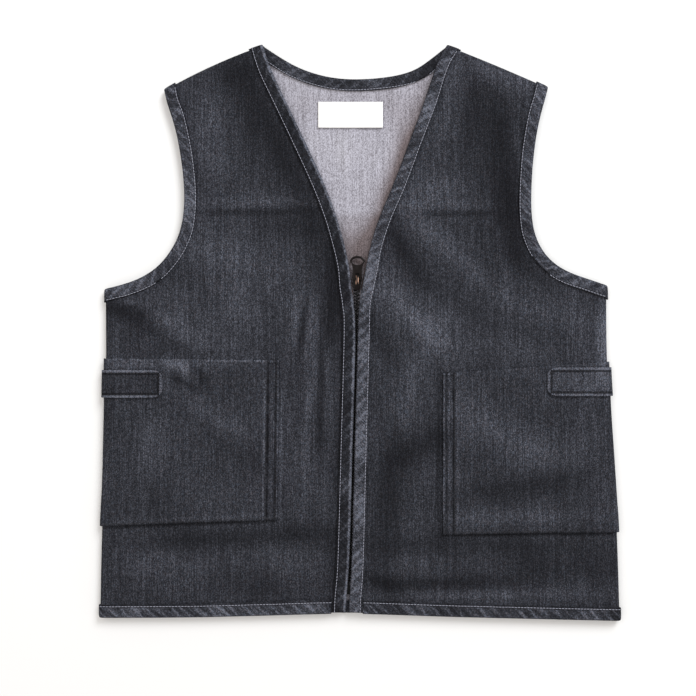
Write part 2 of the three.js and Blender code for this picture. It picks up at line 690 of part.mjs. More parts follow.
const BACK_SHOULDER_STEPS = 3;
function backPanel() {
  const start = backBorder(RIGHT);
  const end = backBorder(LEFT);
  const neck = neckEdge();
  const neckPoints = neck.stations.map((fraction) => insetPoint(neck, fraction));
  const shoulderPoints = (side, from, to) => {
    const places = spread(from.distanceTo(to), BACK_SHOULDER_STEPS, backStops);
    return places.map((place) => seamEnd(side, from.clone().lerp(to, place)));
  };
  const top = shoulderPoints(RIGHT, start.at(-1), seamEnd(RIGHT, neckPoints[0]));
  top.push(...neckPoints.slice(1, -1));
  top.push(...shoulderPoints(LEFT, end.at(-1), seamEnd(LEFT, neckPoints.at(-1))).reverse());
  const topRoute = new Route(top);
  const width = end[0].x - start[0].x;
  const across = topRoute.lengths.map((reach) => width * reach / topRoute.length);
  backStops.forEach((stop, k) => {
    across[k] = stop;
    across[across.length - 1 - k] = width - stop;
  });
  const bottom = across.map((reach) => {
    const x = start[0].x + reach;
    return flat(x, hemY(x) + EDGE_INSET);
  });
  start[0] = bottom[0];
  end[0] = bottom.at(-1);
  add('back', wall(fillPanel(bottom, top, start, end), onBack, -HALF, HALF), WRONG_SIDE);
}

function armholeBindings(side) {
  const edge = armholeEdge(side);
  const widths = [BINDING_WIDTH, BINDING_WIDTH];
  for (const [half, place] of [['front', onFront[side.name]], ['back', onBack]]) {
    add(`${side.name}_armhole_binding_${half}`, binding(edge, place, widths), BINDING_DENIM);
  }
}

function openingBinding(side) {
  const widths = [BINDING_WIDTH + 0.8, BINDING_WIDTH];
  const edge = openingEdge(side);
  add(`${side.name}_front_edge_binding`, binding(edge, onFront[side.name], widths), BINDING_DENIM);
}

function backNeckBinding() {
  const widths = [BINDING_WIDTH - 0.4, BINDING_WIDTH - 0.4];
  add('back_neck_binding', binding(neckEdge(), onBack, widths), BINDING_DENIM);
}

// A stretch of the hem between two places across, from the wearer's right to left
function hemBinding(name, fromX, toX, place, widths, steps, startStops, endStops) {
  const points = [];
  const count = 24;
  for (let i = 0; i <= count; i += 1) {
    const x = THREE.MathUtils.lerp(fromX, toX, i / count);
    points.push(flat(x, hemY(x)));
  }
  const edge = boundEdge(points, (l) => spread(l, steps, startStops, endStops), 1, {});
  add(name, binding(edge, place, widths), BINDING_DENIM);
}

function hemBindings() {
  const y = HEM[0].y;
  const rightEnd = seamPoint(RIGHT, y).x;
  const leftEnd = seamPoint(LEFT, y).x;
  const clear = BINDING_WIDTH + 1 + SEAM_GAP;
  const centre = { right: openingX(RIGHT, y) - clear, left: openingX(LEFT, y) + clear };
  const front = [BINDING_WIDTH, BINDING_WIDTH + 2.2];
  hemBinding('right_hem_binding', rightEnd, centre.right, onFront.right, front, 9, turnStops, [0]);
  const other = [BINDING_WIDTH + 0.6, BINDING_WIDTH + 0.2];
  hemBinding('left_hem_binding', centre.left, leftEnd, onFront.left, other, 9, [0], turnStops);
  const back = [BINDING_WIDTH, BINDING_WIDTH];
  hemBinding('back_hem_binding', rightEnd, leftEnd, onBack, back, 14, turnStops, turnStops);
}

// Pocket: the front's own pattern points between the pocket's lines, moved out by the front's cloth.
// It is thicker along its turned hem, its double-stitched edge and the allowance at its foot.
function pocket(side) {
  const first = 1 + ROW_COUNTS[0];
  const last = first + 1 + ROW_COUNTS[1] + 1;
  const columns = TURN_STEPS + 1 + POCKET_COLUMNS + 1;
  const grid = frontGrids[side.name].slice(first, last + 1).map((row) => row.slice(0, columns + 1));
  const rows = grid.length - 1;
  const inner = HALF + SEAM_GAP;
  const outer = (p, j, i) => {
    const turned = j >= rows - 1 || j <= 1 || i >= columns - 1;
    return inner + CLOTH + (turned ? ALLOWANCE : 0);
  };
  add(`${side.name}_pocket`, wall(grid, onFront[side.name], inner, outer), DENIM);
}

// Tab from the side seam over the pocket, its free end rounded at the corners
function tab(side) {
  const cut = TAB[side.name];
  const rows = 6;
  const middle = (cut.top + cut.bottom) / 2;
  const half = (cut.top - cut.bottom) / 2;
  const grid = [];
  for (let j = 0; j <= rows; j += 1) {
    const y = THREE.MathUtils.lerp(cut.bottom, cut.top, j / rows);
    const intoCorner = Math.max(Math.abs(y - middle) - (half - TAB_CORNER), 0);
    const back = TAB_CORNER - Math.sqrt(Math.max(TAB_CORNER ** 2 - intoCorner ** 2, 0));
    const endX = cut.endX - back * side.inward;
    const outerX = sideX(side, y) - SEAM_OUTSET * side.inward;
    const places = spread(Math.abs(endX - outerX), 4, seamStops);
    grid.push(places.map((u) => flat(THREE.MathUtils.lerp(outerX, endX, u), y)));
  }
  const inner = HALF + 2.5 * SEAM_GAP + CLOTH + ALLOWANCE;
  add(`${side.name}_tab`, wall(grid, onFront[side.name], inner, inner + CLOTH), BINDING_DENIM);
}

function label() {
  const grid = [LABEL.bottom, LABEL.top].map((y) => [LABEL.left, LABEL.right].map((x) => flat(x, y)));
  add('label', wall(grid, onBack, -HALF - SEAM_GAP - CLOTH, -HALF - SEAM_GAP), LABEL_WEAVE);
}

// Middle line of the zip, between the two front edges
const zipX = (y) => (openingX(RIGHT, y) + openingX(LEFT, y)) / 2;

// A flat strip beside the zip's middle line, between two distances from it and two heights
function zipStrip(side, nearAt, far, fromY, toY, bottom, height) {
  const rows = 12;
  const grid = [];
  for (let j = 0; j <= rows; j += 1) {
    const y = THREE.MathUtils.lerp(fromY, toY, j / rows);
    grid.push([nearAt(y), far].map((reach) => flat(zipX(y) - reach * side.inward, y)));
  }
  return wall(grid, (p, off) => new THREE.Vector3(p.x, p.y, off), bottom, bottom + height);
}

// Each half of the zip. The tape stays under the front edge where the edges part above the slider.
function zipHalves(side) {
  const chain = zipStrip(side, () => SEAM_GAP / 2, CHAIN.halfWidth, CHAIN.endY, CHAIN.topY,
    CHAIN.bottom, CHAIN.height);
  add(`${side.name}_zip_chain`, chain, DARK_METAL);
  const besideChain = CHAIN.halfWidth + SEAM_GAP;
  const underEdge = (y) => (openingX(LEFT, y) - openingX(RIGHT, y)) / 2 + TAPE.cover;
  const nearAt = (y) => (y > CHAIN.topY ? Math.max(besideChain, underEdge(y)) : besideChain);
  const tape = zipStrip(side, nearAt, TAPE.reach, TAPE.endY, TAPE.topY, TAPE.bottom, CLOTH);
  add(`${side.name}_zip_tape`, tape, TAPE_WEAVE);
}

function zipBox() {
  const top = CHAIN.endY - SEAM_GAP;
  const grid = [top - BOX_LENGTH, top].map((y) => [-1, 1].map(
    (way) => flat(zipX(y) + way * CHAIN.halfWidth, y)));
  const place = (p, off) => new THREE.Vector3(p.x, p.y, off);
  add('zip_box', wall(grid, place, CHAIN.bottom, CHAIN.bottom + CHAIN.height), DARK_METAL);
}

// Solid that can be cut and joined, from a closed geometry
function body(geometry) {
  geometry.deleteAttribute('normal');
  geometry.deleteAttribute('uv');
  const merged = mergeVertices(geometry, 1e-4);
  return new wasm.Manifold(new wasm.Mesh({
    numProp: 3,
    vertProperties: new Float32Array(merged.attributes.position.array),
    triVerts: new Uint32Array(merged.index.array),
  }));
}

function geometryOf(manifold) {
  const mesh = manifold.getMesh();
  const geometry = new THREE.BufferGeometry();
  geometry.setAttribute('position', new THREE.BufferAttribute(mesh.vertProperties, 3));
  geometry.setIndex(new THREE.BufferAttribute(mesh.triVerts, 1));
  return geometry;
}

// Plate of the slider: wide and round at the nose, narrow at the tail
function sliderPlate(bottom, thickness) {
  const nose = SLIDER.noseWidth / 2;
  const tail = SLIDER.tailWidth / 2;
  const r = SLIDER.cornerRadius;
  const shape = new THREE.Shape();
  shape.moveTo(-tail, SLIDER.tailY);
  shape.lineTo(tail, SLIDER.tailY);
  shape.lineTo(nose, PIVOT.y - 1);
  shape.lineTo(nose, SLIDER.noseY - r);
  shape.absarc(nose - r, SLIDER.noseY - r, r, 0, Math.PI / 2);
  shape.absarc(-nose + r, SLIDER.noseY - r, r, Math.PI / 2, Math.PI);
  shape.lineTo(-nose, PIVOT.y - 1);
  shape.closePath();
  const plate = new THREE.ExtrudeGeometry(shape, { depth: thickness, bevelEnabled: false, curveSegments: 4 });
  plate.translate(SLIDER.centreX, 0, bottom);
  return body(plate);
}

// Bridge that the pull hangs on: an arch along the slider with a flat bar and two feet
function sliderBridge() {
  const top = SLIDER.topPlate + SLIDER.topThickness;
  const rise = PIVOT.z - top + BRIDGE.inside;
  const outside = rise + BRIDGE.bar;
  const inside = BRIDGE.halfSpan - BRIDGE.foot;
  const shape = new THREE.Shape();
  shape.moveTo(-BRIDGE.halfSpan, -HALF);
  shape.lineTo(-inside, -HALF);
  shape.lineTo(-inside, rise);
  shape.lineTo(inside, rise);
  shape.lineTo(inside, -HALF);
  shape.lineTo(BRIDGE.halfSpan, -HALF);
  shape.lineTo(BRIDGE.halfSpan, outside - BRIDGE.bar);
  shape.quadraticCurveTo(BRIDGE.halfSpan, outside, inside, outside);
  shape.lineTo(-inside, outside);
  shape.quadraticCurveTo(-BRIDGE.halfSpan, outside, -BRIDGE.halfSpan, outside - BRIDGE.bar);
  const arch = new THREE.ExtrudeGeometry(shape, { depth: BRIDGE.width, bevelEnabled: false, curveSegments: 4 });
  arch.translate(0, 0, -BRIDGE.width / 2);
  arch.rotateX(Math.PI / 2);
  arch.rotateZ(Math.PI / 2);
  arch.translate(PIVOT.x, PIVOT.y, top);
  return body(arch);
}

function zipSlider() {
  const upper = sliderPlate(SLIDER.topPlate, SLIDER.topThickness);
  const lower = sliderPlate(SLIDER.floor, SLIDER.plate);
  const reach = SLIDER.topPlate + HALF / 2 - SLIDER.floor;
  const post = new THREE.BoxGeometry(POST.width, POST.length, reach);
  post.translate(SLIDER.centreX, SLIDER.noseY - POST.length / 2 - HALF, SLIDER.floor + reach / 2);
  const slider = upper.add(lower).add(body(post)).add(sliderBridge());
  add('zip_slider', geometryOf(slider), DARK_METAL);
}

// Pull tab: a cross bar at the pivot, a slot for the bridge, and a wide end with an oval hole
function zipPull() {
  const bar = PULL.thickness / 2;
  const neck = PULL.neckWidth / 2;
  const ring = PULL.ringWidth / 2;
  const ringMiddle = PULL.length - PULL.ringHeight / 2;
  const shape = new THREE.Shape();
  shape.moveTo(-neck, -bar);
  shape.lineTo(neck, -bar);
  shape.lineTo(neck, PULL.slotEnd);
  shape.quadraticCurveTo(neck, ringMiddle - PULL.ringHeight / 4, ring, ringMiddle);
  shape.absellipse(0, ringMiddle, ring, PULL.ringHeight / 2, 0, Math.PI);
  shape.quadraticCurveTo(-neck, ringMiddle - PULL.ringHeight / 4, -neck, PULL.slotEnd);
  shape.closePath();
  const slot = new THREE.Path();
  slot.moveTo(-PULL.slotWidth / 2, bar);
  slot.lineTo(-PULL.slotWidth / 2, PULL.slotEnd);
  slot.lineTo(PULL.slotWidth / 2, PULL.slotEnd);
  slot.lineTo(PULL.slotWidth / 2, bar);
  slot.closePath();
  const hole = new THREE.Path();
  hole.absellipse(0, ringMiddle, PULL.holeWidth / 2, PULL.holeHeight / 2, 0, 2 * Math.PI, true);
  shape.holes.push(slot, hole);
  const plate = new THREE.ExtrudeGeometry(
    shape, { depth: PULL.thickness, bevelEnabled: false, curveSegments: 12 });
  plate.translate(0, 0, -PULL.thickness / 2);
  const mesh = add('zip_pull', geometryOf(body(plate)), DARK_METAL);
  mesh.rotation.x = THREE.MathUtils.degToRad(PULL.restTilt);
  mesh.position.set(PIVOT.x, PIVOT.y, PIVOT.z);
}

backPanel();
for (const side of [RIGHT, LEFT]) {
  frontPanel(side);
  pocket(side);
  tab(side);
  openingBinding(side);
  armholeBindings(side);
  zipHalves(side);
}
backNeckBinding();
hemBindings();
label();
zipBox();
zipSlider();
zipPull();

// The origin is under the middle of the whole vest
vest.updateMatrixWorld(true);
const middle = new THREE.Box3().setFromObject(vest).getCenter(new THREE.Vector3());
vest.position.set(-middle.x, -middle.y, 0);

export default vest;
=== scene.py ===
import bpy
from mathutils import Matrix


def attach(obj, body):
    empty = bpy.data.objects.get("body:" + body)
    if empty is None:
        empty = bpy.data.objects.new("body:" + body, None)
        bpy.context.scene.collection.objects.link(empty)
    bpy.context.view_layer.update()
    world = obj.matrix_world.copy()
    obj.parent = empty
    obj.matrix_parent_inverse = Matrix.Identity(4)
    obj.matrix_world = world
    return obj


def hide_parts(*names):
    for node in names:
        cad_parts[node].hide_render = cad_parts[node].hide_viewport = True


bl_info = {
    "name": "Denim Vest",
    "version": (1, 0, 0),
    "blender": (4, 5, 0),
    "location": "View3D > Sidebar > Vest",
    "description": "Dresses the solids of a child's denim vest that is laid flat",
    "category": "Object",
}

import math

import bmesh
import bpy
import numpy as np
from bpy.props import FloatProperty, FloatVectorProperty, PointerProperty
from mathutils import Matrix, Vector
from mathutils.bvhtree import BVHTree

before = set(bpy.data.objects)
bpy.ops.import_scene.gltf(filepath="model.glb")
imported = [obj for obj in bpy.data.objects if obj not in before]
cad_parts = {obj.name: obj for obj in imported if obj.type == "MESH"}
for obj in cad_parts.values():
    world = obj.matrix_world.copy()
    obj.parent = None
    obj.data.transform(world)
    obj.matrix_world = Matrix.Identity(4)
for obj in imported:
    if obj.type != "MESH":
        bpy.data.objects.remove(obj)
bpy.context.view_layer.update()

MM = 0.001
# The part's origin, in the millimetres of the tables below
SHIFT = np.array([-0.002, -0.155])

# Edges of the cut in millimetres, from start to end, each with the side that its cloth is on:
# 1 for the left of its run and -1 for the right
EDGES = {
    "right_armhole": (1, [
        (-150.6, 186.6), (-148.4, 176.5), (-143.4, 162.5), (-138, 137), (-135.1, 110),
        (-135.6, 90), (-138.8, 75), (-146.6, 60.5), (-159.4, 46.8), (-177, 38.4),
        (-197.2, 33.2)]),
    "left_armhole": (-1, [
        (144.6, 188.4), (142.3, 179), (138.4, 166), (134, 140.5), (131.8, 112),
        (131.8, 90.5), (134.2, 75), (142.6, 58.8), (156.3, 48), (174, 41.6),
        (191, 35.8)]),
    "right_opening": (1, [
        (-10.9, -215.6), (-10.4, -204), (-8.2, -175), (-5.8, -90), (-3.4, 0),
        (-4.6, 22), (-6.7, 36), (-7.9, 50), (-11.6, 67), (-18.2, 90), (-27.6, 115),
        (-42.2, 147), (-57, 178), (-67.6, 200), (-72, 212), (-74.6, 221.2)]),
    "left_opening": (-1, [
        (-8.6, -215.6), (-8.2, -204), (-6.3, -175), (-4.1, -90), (-1.6, 0),
        (-0.9, 22), (1.8, 36), (4.7, 50), (7.9, 67), (15.3, 90), (26.1, 115),
        (38, 147), (49.7, 178), (56.7, 200), (61.6, 212), (67.2, 220.8)]),
    "neck": (-1, [
        (-75, 221.4), (-64.7, 214.4), (-47.7, 204.4), (-23.1, 196.9), (0, 195.5),
        (30.8, 198.8), (46.2, 204.2), (59.3, 215.2), (67.4, 221)]),
    "hem": (1, [
        (-200.2, -219.4), (-128, -219), (-71, -217.6), (-8, -216.2), (70, -218.6),
        (200.2, -221.8)]),
    "right_side": (-1, [
        (-200.2, -219.4), (-199.2, -170), (-197.6, -120), (-196.8, -60), (-196.4, -20),
        (-197.2, 33.2)]),
    "left_side": (1, [
        (200.2, -221.8), (198.6, -170), (196.4, -120), (192.4, -60), (190.4, -20),
        (190, 35.8)]),
    "right_shoulder": (-1, [
        (-150.6, 186.6), (-132, 196.9), (-113, 205.9), (-94, 214.1), (-74.6, 221.2)]),
    "left_shoulder": (1, [
        (144.6, 188.4), (126, 196.7), (106, 205.2), (86.5, 213.2), (67.2, 220.8)]),
}

# Creases and wash marks of the fronts in millimetres: middle, direction in degrees, half length,
# half width, height of the cloth, and how much lighter it is, as wear and as painted light and
# shade of the creases
FRONT_MARKS = [
    # x, y, turn, long, wide, high, tone
    (-54, 128, -66, 98, 13, -0.2, -0.2),
    (-86, 176, -66, 34, 12, -0.1, -0.08),
    (-96, 198, 20, 18, 8, 0.1, -0.09),
    (-117, 158, 84, 34, 10, 0.4, 0.07),
    (-113, 118, 70, 24, 10, 0.2, 0.05),
    (-78, 100, 1, 48, 5, 0.5, 0.1),
    (-78, 92.8, 1, 46, 2.8, -0.4, -0.15),
    (-56, 82, -10, 24, 9, -0.1, -0.09),
    (-92, 56, -8, 42, 20, 0.5, 0.1),
    (-112, 14, 0, 36, 16, 0.2, 0.09),
    (-125, 30, 4, 50, 9, 0.3, 0.05),
    (-184, 18, -10, 24, 5, -0.3, -0.13),
    (-163, 3, -31, 38, 6, -0.4, -0.14),
    (-158, 14, -26, 30, 4.5, 0.6, 0.06),
    (-130, -6, -10, 40, 7, 0.4, 0.07),
    (-44.3, 3, 84, 20, 2.6, -0.4, -0.24),
    (-39, 2, 84, 24, 4, 0.8, 0.09),
    (-51, 4, 84, 26, 5, 0.7, 0.11),
    (-30.4, -50, 89, 44, 2.8, -0.4, -0.2),
    (-25, -46, 89, 46, 3.6, 0.5, 0.05),
    (-38, -54, 86, 44, 6, 0.5, 0.1),
    (-21, 24, 86, 34, 7, -0.2, -0.24),
    (-17, -100, 88, 120, 4.5, -0.1, -0.11),
    (-135, -39, -30, 12, 1.8, -0.4, -0.24),
    (-138, -28, -34, 15, 6, 0.7, 0.08),
    (-124, -32, -58, 12, 4, -0.2, -0.12),
    (-150, -25, 0, 44, 4, 0.4, 0.14),
    (-90, -21, 1, 24, 3, 0.3, 0.08),
    (-110, -66, -34, 36, 9, 0.5, 0.08),
    (-95, -88, -30, 30, 8, -0.3, -0.06),
    (-160, -92, 70, 34, 12, 0.4, 0.06),
    (-100, -124, 6, 40, 9, 0.3, 0.05),
    (-46, -120, 86, 34, 8, 0.2, 0.05),
    (-92, -158, 3, 80, 7, -0.3, -0.16),
    (-110, -178, 2, 80, 9, 0.3, 0.04),
    (-60, -196, 1, 50, 8, -0.1, -0.06),
    (110, 197, -24, 26, 10, 0.3, 0.14),
    (88, 172, 88, 28, 7, -0.2, -0.11),
    (68, 178, 84, 34, 8, 0.3, 0.08),
    (111, 124, 96, 62, 13, -0.3, -0.22),
    (124, 120, 96, 50, 3.6, 0.3, 0.06),
    (98, 62, 104, 30, 9, -0.2, -0.08),
    (50, 112, -4, 34, 16, 0.3, 0.1),
    (92, 150, 88, 60, 16, 0, -0.06),
    (67, 97, -1, 42, 4, 0.45, 0.06),
    (75, 91.4, 1, 29, 2.2, -0.35, -0.15),
    (118, 84, 100, 36, 8, -0.2, -0.12),
    (66, 66, -42, 40, 9, 0.6, 0.14),
    (34, 62, -58, 32, 7.5, -0.35, -0.19),
    (39, 13, -48, 46, 10.5, 0.7, 0.17),
    (56, 6, 0, 26, 12, 0.1, 0.05),
    (16, -6, -60, 28, 7, -0.2, -0.12),
    (72, 26, -40, 30, 8, -0.3, -0.06),
    (152, 14, -20, 30, 12, 0.4, 0.09),
    (132, 48, -40, 26, 7, -0.3, -0.12),
    (118, 24, -36, 36, 8, 0.4, 0.06),
    (186, -8, 90, 34, 5, 0.1, 0.14),
    (110, -12, -4, 50, 8, 0.2, 0.05),
    (38, -44, 72, 34, 11, 0.4, 0.12),
    (46, -88, 32, 28, 10, -0.3, -0.17),
    (22, -140, 88, 60, 8, -0.1, -0.07),
    (112, -80, -24, 46, 15, 0.5, 0.12),
    (172, -70, 80, 34, 10, 0.2, 0.05),
    (126, -119, 9, 52, 9, -0.35, -0.15),
    (133, -142, 2, 62, 6, 0.3, 0.1),
    (160, -180, 0, 50, 13, -0.3, -0.14),
    (90, -164, 0, 96, 7, -0.25, -0.1),
    (68, -193, 1, 52, 5.5, -0.35, -0.2),
    (18, -193, -22, 15, 5, -0.2, -0.16),
    (30, -182, 10, 24, 7, 0.3, 0.03),
    (24, -110, 84, 60, 12, -0.2, -0.11),
    (11.5, 41, 70, 5, 2.2, -0.1, -0.2),
    (190, 10, 90, 40, 5, 0.1, 0.08),
    # The next six rows paint shade along the pockets' inner edges and feet, with lighter lines
    # beside them and at the right tab's end
    (60.9, -93, 90, 66, 1.7, 0, -0.15),
    (-130, -143.4, 1.9, 67, 1.7, 0.2, 0.08),
    (-130, -147.6, 1.9, 68, 1.5, 0, -0.16),
    (129, -155.4, 1.1, 66, 1.5, 0, -0.16),
    (-60.9, -84, 89, 62, 1.5, 0.1, 0.14),
    (-150, -40, 90, 11, 1.6, 0, 0.12),
    (104, -201, 0, 84, 4, 0.3, 0.1),
]

# The same for the back, whose cloth can only rise from the surface under it; its dark marks are
# mostly painted shadow that the fronts' edges cast into the V, and its light ones painted light on
# its creases
BACK_MARKS = [
    (46, 146, 69, 76, 15, 0.1, -0.42),
    (24, 106, 69, 60, 9, 0, -0.3),
    (-58, 160, -66, 46, 6, 0, -0.1),
    (-1, 60, 0, 30, 18, 0, -0.42),
    (0, 176, 0, 70, 12, 0, -0.08),
    (-1, 78, 0, 30, 13, 0, -0.14),
    (-6, 94, 0, 120, 3.5, 0.45, 0.06),
    (-4, 88, 0, 120, 3.5, 0, -0.05),
    (-40, 150, 70, 30, 9, 0.4, 0.04),
    (34, 150, -72, 40, 8, 0.3, -0.08),
    (12, 120, 80, 34, 6, 0.3, 0.03),
    (-12, 126, 96, 36, 5, 0.25, 0.04),
    (-110, 60, -30, 50, 10, 0.5, 0.05),
    (120, 70, 34, 46, 9, 0.5, 0.04),
    (-60, -20, -14, 60, 8, 0.4, -0.04),
    (80, -60, 18, 64, 9, 0.4, 0.04),
    (-120, -120, 12, 60, 10, 0.4, 0.03),
    (20, -150, -6, 80, 9, 0.4, -0.04),
]

# Lighter and darker marks on the back's right side, which lies on the surface and stays flat there
OUTER_MARKS = [
    (0, 98, 0, 118, 5, 0, 0.08),
    (0, 91, 0, 116, 2.8, 0, -0.12),
    (-70, 130, -78, 60, 12, 0, -0.1),
    (64, 140, 82, 54, 14, 0, -0.09),
    (10, 150, 86, 40, 16, 0, 0.08),
    (-40, 30, -16, 70, 16, 0, 0.1),
    (88, 44, -34, 46, 10, 0, -0.09),
    (60, -20, -40, 60, 14, 0, 0.09),
    (-120, -10, 22, 50, 12, 0, -0.08),
    (-70, -96, 74, 60, 10, 0, -0.1),
    (-100, -130, 8, 60, 14, 0, 0.06),
    (100, -110, -14, 70, 12, 0, -0.1),
    (20, -176, 1, 140, 9, 0, -0.08),
    (0, -198, 0, 160, 6, 0, 0.05),
]

# Lighter and darker marks on the bindings, in the same columns; the dark ones at the neck
# binding's ends are painted shade where the fronts lie over it
EDGE_MARKS = [
    (40, 154, 69, 72, 14, 0, -0.15),
    (54, 176, 69, 9, 5, 0, 0.14),
    (66, 206, 69, 14, 10, 0, 0.1),
    (60, 210, 40, 22, 8, 0, -0.1),
    (-66, 211, -50, 12, 8, 0, -0.08),
    (-148, 178, 60, 8, 5, 0, -0.1),
    (-139.6, 167.6, 53, 6, 0.8, 0, 0.22),
    (-141.6, 169.6, 53, 6, 0.8, 0, 0.18),
    (-120, -216, 0, 90, 8, 0, 0.03),
    (60, -217, 0, 60, 8, 0, -0.05),
]

# Pockets in millimetres: their side seam, their top and foot there and at the inner edge, that edge
# at its top and foot, and how much lighter the top is worn
POCKETS = {
    "right": {"side": -198.0, "top": (-20.0, -21.5), "foot": (-148.8, -144.5),
              "edge": (-62.5, -64.0), "lighter": 0.5},
    "left": {"side": 195.0, "top": (-22.5, -31.2), "foot": (-153.4, -156.0),
             "edge": (63.8, 63.8), "lighter": 0.1},
}
# Depth of the hem turned in at a pocket's top
POCKET_HEM = 14.5
# Tabs in millimetres, and how much lighter each is all over and along its rim
TABS = {
    "right": {"top": -28.9, "foot": -50.0, "side": -196.6, "end": -152.0,
              "lighter": -0.1, "rim": 1.6},
    "left": {"top": -26.8, "foot": -48.8, "side": 191.0, "end": 144.2,
             "lighter": 0.6, "rim": 0.6},
}
# What a tab's flat size adds to the tab as laid: its length in the seam, and the roll of its edges
TAB_SEAM = 4.5
TAB_ROLL = 1.2
# Most that a crease lowers the front, so that it stays clear of the back
DEEPEST = -0.4
# Share of the worn colour in the right side before its threads and marks
DENIM_LEVEL = 0.16

# Middle of the zip, and its teeth, in millimetres: where they start and end, their height above the
# surface, their size, and how far each row stands from the middle
ZIP_LINE = [(-10.0, -215.6), (-9.3, -204.0), (-7.25, -175.0), (-4.95, -90.0), (-2.5, 0.0),
            (-2.6, 38.0)]
TEETH = {"from": -194.6, "to": 38.0, "pitch": 2.54, "middle": 2.9, "size": (2.7, 1.2, 1.8),
         "apart": 0.95}
# Lines of painted highlight on the slider's bridge, in millimetres: place across, start and end
SLIDER_HIGHLIGHTS = [(-3.0, 36.5, 44.5), (-1.3, 37.0, 43.0)]

# Stitches in millimetres: length and radius, and how far their lines run from the edges
PALE_STITCH = (2.25, 0.21)
DARK_STITCH = (1.8, 0.22)
STITCH_LINES = {"front": 8.7, "hem": 8.9, "neck": 8.3, "pocket": (1.6, 9.0), "tab": 2.6}

# Lamps: place in metres, diameter, power and colour
LAMPS = {
    "window": ((0.85, 1.3, 1.4), 1.1, 32, (0.94, 0.975, 1.0)),
    "fill": ((-0.9, 0.3, 1.8), 1.6, 9, (1.0, 0.97, 0.93)),
}
# Light from all round, and the camera's place in millimetres
SKY_COLOUR = (1.0, 0.965, 0.935, 1)
SKY_STRENGTH = 0.72
CAMERA_PLACE = (-9.2, -12.1, 749)


def srgb(red, green, blue):
    """Linear colour of an 8-bit one."""
    def linear(c):
        c /= 255
        return c / 12.92 if c <= 0.04045 else ((c + 0.055) / 1.055) ** 2.4
    return (linear(red), linear(green), linear(blue))


class VestSettings(bpy.types.PropertyGroup):
    """Colours and sizes that a user would change."""

    warp: FloatVectorProperty(
        name="Warp", description="Dyed warp of the right side where it is worn", subtype="COLOR",
        size=3, default=srgb(101, 104, 115), min=0, max=1)
    shade: FloatVectorProperty(
        name="Shade", description="Dyed warp of the right side, unworn", subtype="COLOR",
        size=3, default=srgb(14, 14, 17), min=0, max=1)
    weft: FloatVectorProperty(
        name="Weft", description="Pale weft that the wrong side shows", subtype="COLOR",
        size=3, default=srgb(188, 187, 199), min=0, max=1)
    thread: FloatVectorProperty(
        name="Thread", description="Topstitching of the bindings", subtype="COLOR",
        size=3, default=srgb(163, 165, 180), min=0, max=1)
    twill_pitch: FloatProperty(
        name="Twill pitch", description="Distance between the twill's lines", default=0.75 * MM,
        min=0.3 * MM, max=3 * MM, subtype="DISTANCE", unit="LENGTH")
    pucker_pitch: FloatProperty(
        name="Pucker pitch", description="Distance between a binding's puckers", default=9.5 * MM,
        min=2 * MM, max=30 * MM, subtype="DISTANCE", unit="LENGTH")
    stitch_pitch: FloatProperty(
        name="Stitch pitch", description="Distance from one stitch to the next", default=2.4 * MM,
        min=1 * MM, max=8 * MM, subtype="DISTANCE", unit="LENGTH")
    crease: FloatProperty(
        name="Crease", description="Strength of the creases", default=1.0, min=0, max=1.5)


# Plan

def ease(value, start, end):
    """0 before the start and 1 past the end, with a smooth rise between."""
    t = np.clip((value - start) / (end - start), 0, 1)
    return t * t * (3 - 2 * t)


def smooth_line(points, step=2.0):
    """Points a step apart on a smooth curve through some others."""
    points = np.array(points, float)
    padded = np.vstack([2 * points[0] - points[1], points, 2 * points[-1] - points[-2]])
    out = []
    for a, b, c, d in zip(padded, padded[1:], padded[2:], padded[3:]):
        count = max(int(np.linalg.norm(c - b) / step), 1)
        t = np.linspace(0, 1, count, endpoint=False)[:, None]
        out.append(0.5 * (2 * b + (c - a) * t + (2 * a - 5 * b + 4 * c - d) * t ** 2
                          + (3 * b - a - 3 * c + d) * t ** 3))
    return np.vstack(out + [points[-1:]])


EDGE_LINES = {name: smooth_line(points) for name, (_, points) in EDGES.items()}


def lengths_of(line):
    """How far along a line each of its points is."""
    return np.concatenate([[0], np.cumsum(np.linalg.norm(np.diff(line, axis=0), axis=1))])


def along_and_across(plan, line):
    """How far along a line each point is, and how far from it."""
    best = np.full(len(plan), np.inf)
    along = np.zeros(len(plan))
    for start, a, b in zip(lengths_of(line), line, line[1:]):
        span = b - a
        t = np.clip((plan - a) @ span / (span @ span), 0, 1)
        away = np.linalg.norm(plan - a - t[:, None] * span, axis=1)
        closer = away < best
        best[closer] = away[closer]
        along[closer] = (start + t * np.linalg.norm(span))[closer]
    return along, best


def offset_line(line, distance):
    """A line moved to its left."""
    ahead = np.gradient(line, axis=0)
    ahead /= np.linalg.norm(ahead, axis=1)[:, None]
    return line + distance * np.column_stack([-ahead[:, 1], ahead[:, 0]])


def marks_at(plan, marks):
    """Height and tone that creases give to points of the plan."""
    high = np.zeros(len(plan))
    tone = np.zeros(len(plan))
    for x, y, turn, long, wide, rise, lighter in marks:
        c, s = math.cos(math.radians(turn)), math.sin(math.radians(turn))
        dx, dy = plan[:, 0] - x, plan[:, 1] - y
        along = (dx * c + dy * s) / long
        across = (dy * c - dx * s) / wide
        shape = np.exp(-along ** 4 - across ** 2)
        high += rise * shape
        # A mark's tone holds wear together with painted light and shade
        tone += lighter * shape
    return high, tone


def unevenness(plan, size, seed):
    """Smooth wandering between -1 and 1, from a few waves that cross."""
    rng = np.random.default_rng(seed)
    total = np.zeros(len(plan))
    waves = 7
    for _ in range(waves):
        turn = rng.uniform(0, math.tau)
        pitch = size * rng.uniform(0.7, 1.6)
        way = np.array([math.cos(turn), math.sin(turn)])
        total += np.sin(plan @ way * math.tau / pitch + rng.uniform(0, math.tau))
    return total / math.sqrt(waves)


